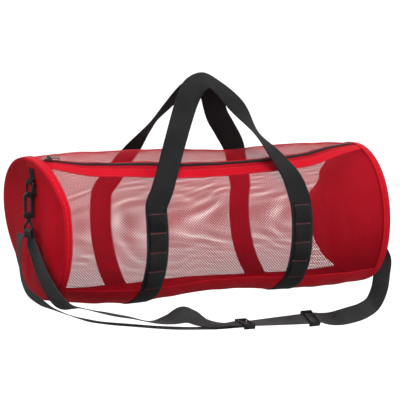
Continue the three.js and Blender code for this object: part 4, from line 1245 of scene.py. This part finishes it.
bow_radius = RING_WIDTH / 2
bow_rise = bow_radius - math.sqrt(bow_radius ** 2 - (HOOK_DEPTH / 2) ** 2)
bow_height = HOOK_CROWN - CLEAR - RING_WIRE / 2 - bow_rise
ring_down = np.array([math.sin(math.radians(RING_TILT)), 0, -math.cos(math.radians(RING_TILT))])
ring_top = np.array([0, 0, bow_height]) - ring_down * RING_DROP
hook_half = HOOK_WIDTH / 2
crown_centre = HOOK_CROWN - (hook_half - HOOK_BAR / 2)


def make_d_ring(word):
    corner = 4.0
    half = bow_radius
    path = arc_path(-half + corner, corner, corner, 180, 270, 6)
    path += arc_path(half - corner, corner, corner, 270, 360, 6)
    path += arc_path(0, RING_DROP - half, half, 0, 180, 40)
    points = np.array([ring_top + np.array([0, a, 0]) + ring_down * b for a, b in path])
    flat = np.cross([0, 1, 0], ring_down) * np.array([hardware_place(word)[1]] * 2 + [1])
    route = closed_route(local_points(word, points), flat)
    swept(f"d_ring_{word}_moulded", route, round_section(RING_WIRE / 2), black_plastic,
          [f"d_ring_{word}"], closed=True)


def rounded_block(name, size, centre, corner, to_bag, nodes):
    """A block with all edges rounded, carried into the bag's frame by a function of a point."""
    mesh_tool = bmesh.new()
    bmesh.ops.create_cube(mesh_tool, size=1)
    for vertex in mesh_tool.verts:
        vertex.co = Vector([c * s for c, s in zip(vertex.co, size)])
    bmesh.ops.bevel(
        mesh_tool, geom=mesh_tool.edges[:], offset=corner, segments=4, affect="EDGES", profile=0.5)
    for vertex in mesh_tool.verts:
        vertex.co = Vector(placed(to_bag(np.array(vertex.co) + np.array(centre))))
    bmesh.ops.recalc_face_normals(mesh_tool, faces=mesh_tool.faces)
    mesh = bpy.data.meshes.new(name)
    mesh_tool.to_mesh(mesh)
    mesh_tool.free()
    link_piece(name, mesh, black_plastic, nodes)


def make_hook(word):
    path = [(-hook_half, HOOK_BASE_TOP - 3)]
    path += [(-hook_half, z) for z in np.linspace(HOOK_BASE_TOP, crown_centre - 2, 6)]
    path += arc_path(0, crown_centre, hook_half, 180, 0, 28)
    path += [(hook_half, crown_centre - NOSE_DROP * 0.5), (hook_half, crown_centre - NOSE_DROP)]
    points = local_points(word, [(x, 0, z) for x, z in path])
    route = open_route(points, (0, 1, 0))
    swept(f"hook_{word}_bow", route, block_section(HOOK_DEPTH, HOOK_BAR, BOW_CORNER), black_plastic,
          [f"hook_{word}"])
    height = HOOK_BASE_TOP - HOOK_BASE_FOOT
    rounded_block(f"hook_{word}_base", (HOOK_WIDTH + HOOK_BAR, HOOK_DEPTH + 2, height),
                  (0, 0, HOOK_BASE_FOOT + height / 2), BASE_CORNER, lambda point: local_points(word, point),
                  [f"hook_{word}"])


def turned(name, word, profile, nodes=()):
    """A shape turned about the fitting's upright axis, from (radius, height) pairs."""
    sides = 28
    turns = np.arange(sides) * 2 * math.pi / sides
    points = [local_points(word, (r * math.cos(t), r * math.sin(t), z)) for r, z in profile for t in turns]
    faces = []
    for row in range(len(profile) - 1):
        for k in range(sides):
            a, b = row * sides + k, row * sides + (k + 1) % sides
            faces.append((a, b, b + sides, a + sides))
    mesh = mesh_of(name, placed(np.array(points)), faces)
    link_piece(name, mesh, black_plastic, nodes)


def make_swivel(word):
    half = SWIVEL_WIDTH / 2
    top = HOOK_BASE_FOOT - SWIVEL_NECK
    shoulder = SWIVEL_FOOT + SWIVEL_SHOULDER
    corners = [(-half, SWIVEL_FOOT), (half, SWIVEL_FOOT), (half, shoulder),
               (SWIVEL_TOP_HALF, top), (-SWIVEL_TOP_HALF, top), (-half, shoulder)]
    path = rounded_path(corners, SWIVEL_BEND)
    points = local_points(word, [(0, y, z) for y, z in path])
    swept(f"swivel_{word}_loop", closed_route(points, (1, 0, 0)), round_section(SWIVEL_WIRE / 2),
          black_plastic, [f"swivel_{word}"], closed=True)
    collar = SWIVEL_COLLAR / 2
    profile = [(0.01, top - 1), (collar - 0.8, top - 1), (collar, top), (collar, HOOK_BASE_FOOT - 1.3),
               (collar - 0.7, HOOK_BASE_FOOT - 0.4), (0.01, HOOK_BASE_FOOT - 0.4)]
    turned(f"swivel_{word}_collar", word, profile, [f"swivel_{word}"])


def make_tab(word):
    side = -1 if word == "left" else 1
    origin = hardware_place(word)[0]
    roll = RING_WIRE / 2 + CLEAR + WEBBING_THICK / 2

    def seat(height):
        places = [origin[1] + edge * TAB_WIDTH / 2 for edge in (-1, 0, 1)]
        highest = max(side * panel_face(side, y, height) for y in places)
        return highest - side * origin[0] + TAB_GAP + WEBBING_THICK / 2

    lead = roll + TAB_LEAD
    below = [ring_top[2] - lead - step for step in (TAB_SEWN, TAB_SEWN / 2, 0)]
    above = [ring_top[2] + lead + step for step in (0, TAB_SEWN / 2, TAB_SEWN)]
    path = [(seat(z), z) for z in below]
    path += arc_path(ring_top[0], ring_top[2], roll, -70, 70, 10)
    path += [(seat(z), z) for z in above]
    at = local_points(word, [(x, 0, z) for x, z in path])
    places = [(point, (0, 1, 0), None) for point in at]
    swept(f"ring_tab_{word}_webbing", route_of(places, 2), strip_section(TAB_WIDTH, WEBBING_THICK),
          black_webbing, [f"ring_tab_{word}"])


for word in ("left", "right"):
    make_tab(word)
    make_d_ring(word)
    make_hook(word)
    make_swivel(word)
    refinish(f"gate_{word}", black_plastic)
print("hooks at x:", [round(float(hardware_place(word)[0][0]), 1) for word in ("left", "right")])

# %% [markdown]
# ## Shoulder strap
#
# The strap is one long webbing. From the left hook it hangs doubled to the first slider, goes
# on singly through the second one, and rises to the right hook. Each stretch is a strip along
# the imported model's route. Its webbing is painted lighter than the black webbing of the
# handles, as painted light on the strap's lit face, and the middle stretch is painted lightest.

# %% Strap tables
# The sliders are called glides here, so that they aren't taken for the zip's slider
STRAP_WIDTH = 38.0
STRAP_THICK = 1.8
STRAP_DROP = 220.0
GLIDE_LENGTH = 27.0
GLIDE_BAR = 5.0
GLIDE_THICK = 2.4
GLIDE_RAIL = 4.0
GLIDE_ENTRY = 4.0
LAP_DROP = 12.0
LAP_FLARE = 0.4
# x, y, z as shares of half the length, RADIUS and STRAP_DROP, then the way across
OUTER_PLY = [
    (-1.113, -0.145, 0.000, 0.00, -1.00, 0.00),
    (-1.134, -0.170, -0.077, -0.15, -0.97, 0.20),
    (-1.139, -0.223, -0.245, -0.25, -0.93, 0.27),
    (-1.139, -0.328, -0.423, -0.25, -0.90, 0.35),
    (-1.121, -0.446, -0.527, -0.15, -0.90, 0.40),
    (-1.068, -0.557, -0.614, 0.00, -0.95, 0.30),
    (-1.010, -0.623, -0.677, 0.00, -1.00, 0.10),
    (-0.869, -0.721, -0.777, 0.00, -1.00, 0.00),
    (-0.743, -0.754, -0.832, 0.00, -1.00, 0.00),
    (-0.572, -0.734, -0.882, 0.00, -1.00, 0.00),
    (-0.312, -0.656, -0.955, 0.00, -1.00, 0.00),
    (-0.053, -0.610, -0.997, 0.00, -1.00, 0.00),
]
INNER_PLY = [
    (-1.0612, -0.157, -0.077, 0.05, -0.97, 0.20),
    (-1.0604, -0.249, -0.150, 0.10, -0.80, 0.58),
    (-1.0564, -0.498, -0.327, 0.15, -0.72, 0.66),
    (-1.042, -0.669, -0.455, 0.20, -0.74, 0.62),
    (-1.010, -0.820, -0.573, 0.25, -0.80, 0.50),
    (-0.962, -0.960, -0.618, 0.15, -0.95, 0.20),
    (-0.906, -1.040, -0.640, 0.00, -1.00, 0.10),
    (-0.787, -1.023, -0.700, 0.00, -1.00, 0.00),
    (-0.591, -0.866, -0.791, 0.00, -1.00, 0.00),
    (-0.420, -0.774, -0.873, 0.00, -1.00, 0.00),
    (-0.310, -0.695, -0.868, 0.00, -0.90, -0.40),
    (-0.223, -0.662, -0.836, 0.00, -0.50, -0.85),
    (-0.150, -0.649, -0.882, 0.00, -0.60, -0.80),
    (-0.052, -0.630, -0.950, 0.00, -0.95, -0.30),
    (0.066, -0.597, -0.980, 0.00, -1.00, 0.00),
]
RIGHT_STRETCH = [
    (0.690, -0.500, -1.018, 0.00, -0.85, -0.50),
    (0.769, -0.472, -1.035, 0.00, -0.75, -0.65),
    (0.884, -0.433, -1.020, 0.10, -0.42, -0.90),
    (0.983, -0.407, -0.988, 0.22, -0.28, -0.93),
    (1.056, -0.380, -0.925, 0.46, -0.36, -0.81),
    (1.100, -0.374, -0.787, 0.82, -0.42, -0.37),
    (1.115, -0.380, -0.613, 0.88, -0.45, -0.10),
    (1.130, -0.341, -0.463, 0.62, -0.78, 0.00),
    (1.085, -0.262, -0.290, 0.30, -0.95, 0.00),
    (1.015, -0.140, -0.165, 0.10, -1.00, 0.00),
    (0.945, -0.035, -0.080, 0.00, -1.00, 0.00),
]
# at, along and across of the two sliders, in the same shares
LEFT_GLIDE = ((0.174, -0.577, -0.992), (1, 0.03, -0.02), (0, -0.99, -0.12))
RIGHT_GLIDE = ((0.604, -0.538, -1.000), (1, 0.06, 0.0), (0, -0.9, -0.43))
# hook, first and last degree round its swivel's bar, steps
OUTER_LAP = ("left", 87, 10, 4)
INNER_LAP = ("left", 93, 180, 4)
RIGHT_LAP = ("right", 170, 0, 6)


# %% Strap
def strap_lap(word, start, end, steps):
    """The strap's end wrapped round the swivel's bar, from one angle to another."""
    origin, side = hardware_place(word)
    roll = SWIVEL_WIRE / 2 + 3 * CLEAR + STRAP_THICK / 2
    lap = arc_path(0, SWIVEL_FOOT, roll, start, end, steps)
    lap.append((math.copysign(roll + LAP_FLARE, math.cos(math.radians(end))), SWIVEL_FOOT - LAP_DROP))
    return [(np.array([origin[0] + side * x, origin[1], z]), (0, -1, 0), None) for x, z in lap]


def glide_axes(glide):
    at = np.array(glide[0]) * np.array([LENGTH / 2, RADIUS, STRAP_DROP])
    along = unit(np.array(glide[1], float))
    across = unit(np.array(glide[2], float))
    across = unit(across - along * (along @ across))
    return at, along, across


def glide_end(glide, distance, lift):
    """A place of the strap inside a slider, or just before it."""
    at, along, across = glide_axes(glide)
    up = np.cross(across, along)
    return at + along * distance + up * lift, across, along


def make_strap():
    lift = (STRAP_THICK + 2 * CLEAR) / 2
    entry = GLIDE_LENGTH / 2 + GLIDE_ENTRY
    gap = CLEAR / 2
    sizes = (LENGTH / 2, RADIUS, STRAP_DROP)
    plies = {
        "strap_outer_ply": (strap_lap(*OUTER_LAP) + table_places(OUTER_PLY, *sizes)
                            + [glide_end(LEFT_GLIDE, -entry, -lift), glide_end(LEFT_GLIDE, -gap, -lift)]),
        "strap_inner_ply": (strap_lap(*INNER_LAP) + table_places(INNER_PLY, *sizes)
                            + [glide_end(LEFT_GLIDE, -entry, lift), glide_end(LEFT_GLIDE, -gap, lift)]),
        "strap_middle": [glide_end(LEFT_GLIDE, gap, 0), glide_end(LEFT_GLIDE, entry, 0),
                         glide_end(RIGHT_GLIDE, -entry, 0), glide_end(RIGHT_GLIDE, -gap, 0)],
        "strap_right": ([glide_end(RIGHT_GLIDE, gap, 0), glide_end(RIGHT_GLIDE, entry, 0)]
                        + table_places(RIGHT_STRETCH, *sizes) + strap_lap(*RIGHT_LAP)[::-1]),
    }
    for name, places in plies.items():
        # The middle stretch gets the lightest webbing: painted light and sheen on that stretch.
        grey = name == "strap_middle"
        swept(name + "_webbing", route_of(places, 9), strip_section(STRAP_WIDTH, STRAP_THICK),
              strap_middle_lit_webbing if grey else strap_lit_webbing, [name])


make_strap()


# %% Strap sliders
def make_glide(name, glide):
    at, along, across = glide_axes(glide)
    axes = np.stack([along, -across, np.cross(across, along)], 1)
    bar_height = STRAP_THICK + CLEAR + 4 * CLEAR + GLIDE_THICK / 2
    rail_y = STRAP_WIDTH / 2 + 2 * CLEAR + GLIDE_RAIL / 2
    end_x = (GLIDE_LENGTH - GLIDE_BAR) / 2
    rail = (GLIDE_LENGTH, GLIDE_RAIL, 2 * bar_height + GLIDE_THICK)
    bar = (GLIDE_BAR, 2 * rail_y + GLIDE_RAIL, GLIDE_THICK)
    blocks = (
        ("rail_near", rail, (0, -rail_y, 0), 1.3),
        ("rail_far", rail, (0, rail_y, 0), 1.3),
        ("bar_first", bar, (-end_x, 0, bar_height), 1.0),
        ("bar_middle", bar, (0, 0, -bar_height), 1.0),
        ("bar_last", bar, (end_x, 0, bar_height), 1.0),
    )
    for word, size, centre, corner in blocks:
        rounded_block(f"{name}_{word}", size, centre, corner, lambda point: at + axes @ point, [name])


make_glide("strap_slider_left", LEFT_GLIDE)
make_glide("strap_slider_right", RIGHT_GLIDE)

# %% [markdown]
# ## Stitching
#
# Rows of thread hold the bag together: along both edges of the bindings, the band, the base
# and the rings, and in dense bars across the daisy chains. Each stitch is a small blunt bar of
# thread lying on its cloth, and each row is one mesh.

# %% Stitches
STITCH_LENGTH = 3.0
STITCH_WIDTH = 0.8
STITCH_THICK = 0.5
STITCH_PITCH = 4.2
EDGE_INSET = 2.5
BINDING_INSET = 2.6
BAND_INSET = 2.0
TACK_LENGTH = 3.4
TACK_PITCH = 1.3
TACK_ROW = 1.2


def stitch_row(name, share, angle, height, along_bag, material, length=STITCH_LENGTH):
    """Stitches at body points, lying along the bag or round it."""
    here, along, round_it, up = directions_on_body(share, angle)
    ways = (along, round_it) if along_bag else (round_it, along)
    centres = here + up * (np.asarray(height, float).reshape(-1, 1) * np.ones((len(here), 1)))
    bars(name, centres, ways[0], ways[1], up, (length, STITCH_WIDTH, STITCH_THICK), material)


def sew_bindings():
    angles = np.arange(0, 360, arc(STITCH_PITCH))
    height = CLEAR + BINDING_THICK * 0.93 + 0.1
    for word, start in (("left", 0.0), ("right", LENGTH - BINDING_WIDTH)):
        for edge, step in (("outer", BINDING_INSET), ("inner", BINDING_WIDTH - BINDING_INSET)):
            share = np.full_like(angles, (start + step) / LENGTH)
            stitch_row(f"binding_{word}_thread_{edge}", share, angles, height, False, red_thread)


def sew_along():
    share = np.arange(BINDING_WIDTH + 3, LENGTH - BINDING_WIDTH - 2, STITCH_PITCH) / LENGTH
    on_base = CLEAR + BASE_THICK + 0.15
    rows = {
        "band_thread_high": (zip_angle(share) + arc(BAND_START + BAND_INSET), 1.0),
        "band_thread_low": (zip_angle(share) + arc(BAND_START + BAND_WIDTH - BAND_INSET), 1.0),
        "base_thread_near": (share * 0 + BASE_NEAR + arc(EDGE_INSET), on_base),
        "base_thread_far": (share * 0 + BASE_FAR - arc(EDGE_INSET), on_base),
    }
    for name, (angle, height) in rows.items():
        stitch_row(name, share, angle, height, True, red_thread)


def sew_rings():
    angles = np.arange(RING_END + 1, 360 - RING_END - 1, arc(STITCH_PITCH))
    for word, x in RING_PLACES:
        for edge in (-1, 1):
            from_middle = edge * (WEBBING_WIDTH / 2 - EDGE_INSET)
            share = np.full_like(angles, (x + from_middle - LEFT_SEAM) / LENGTH)
            stitch_row(f"ring_{word}_thread_{'a' if edge < 0 else 'b'}", share, angles,
                       ring_top_height(angles) + 0.1, False, black_thread)


def sew_daisy_tacks():
    across = np.arange(-DAISY_WIDTH / 2 + 2, DAISY_WIDTH / 2 - 1.5, TACK_PITCH)
    for word, x in RING_PLACES:
        share = []
        angle = []
        for loop in range(DAISY_LOOPS + 1):
            for row in (-TACK_ROW, TACK_ROW):
                share += list((x + across - LEFT_SEAM) / LENGTH)
                angle += [RING_END + arc(DAISY_START + DAISY_PITCH * loop + row)] * len(across)
        share = np.array(share)
        angle = np.clip(np.array(angle), RING_END + arc(DAISY_START + 1), None)
        stitch_row(f"daisy_{word}_tacks", share, angle, daisy_seat(angle) + DAISY_THICK + 0.35, False,
                   tack_thread, TACK_LENGTH)


sew_bindings()
sew_along()
sew_rings()
sew_daisy_tacks()
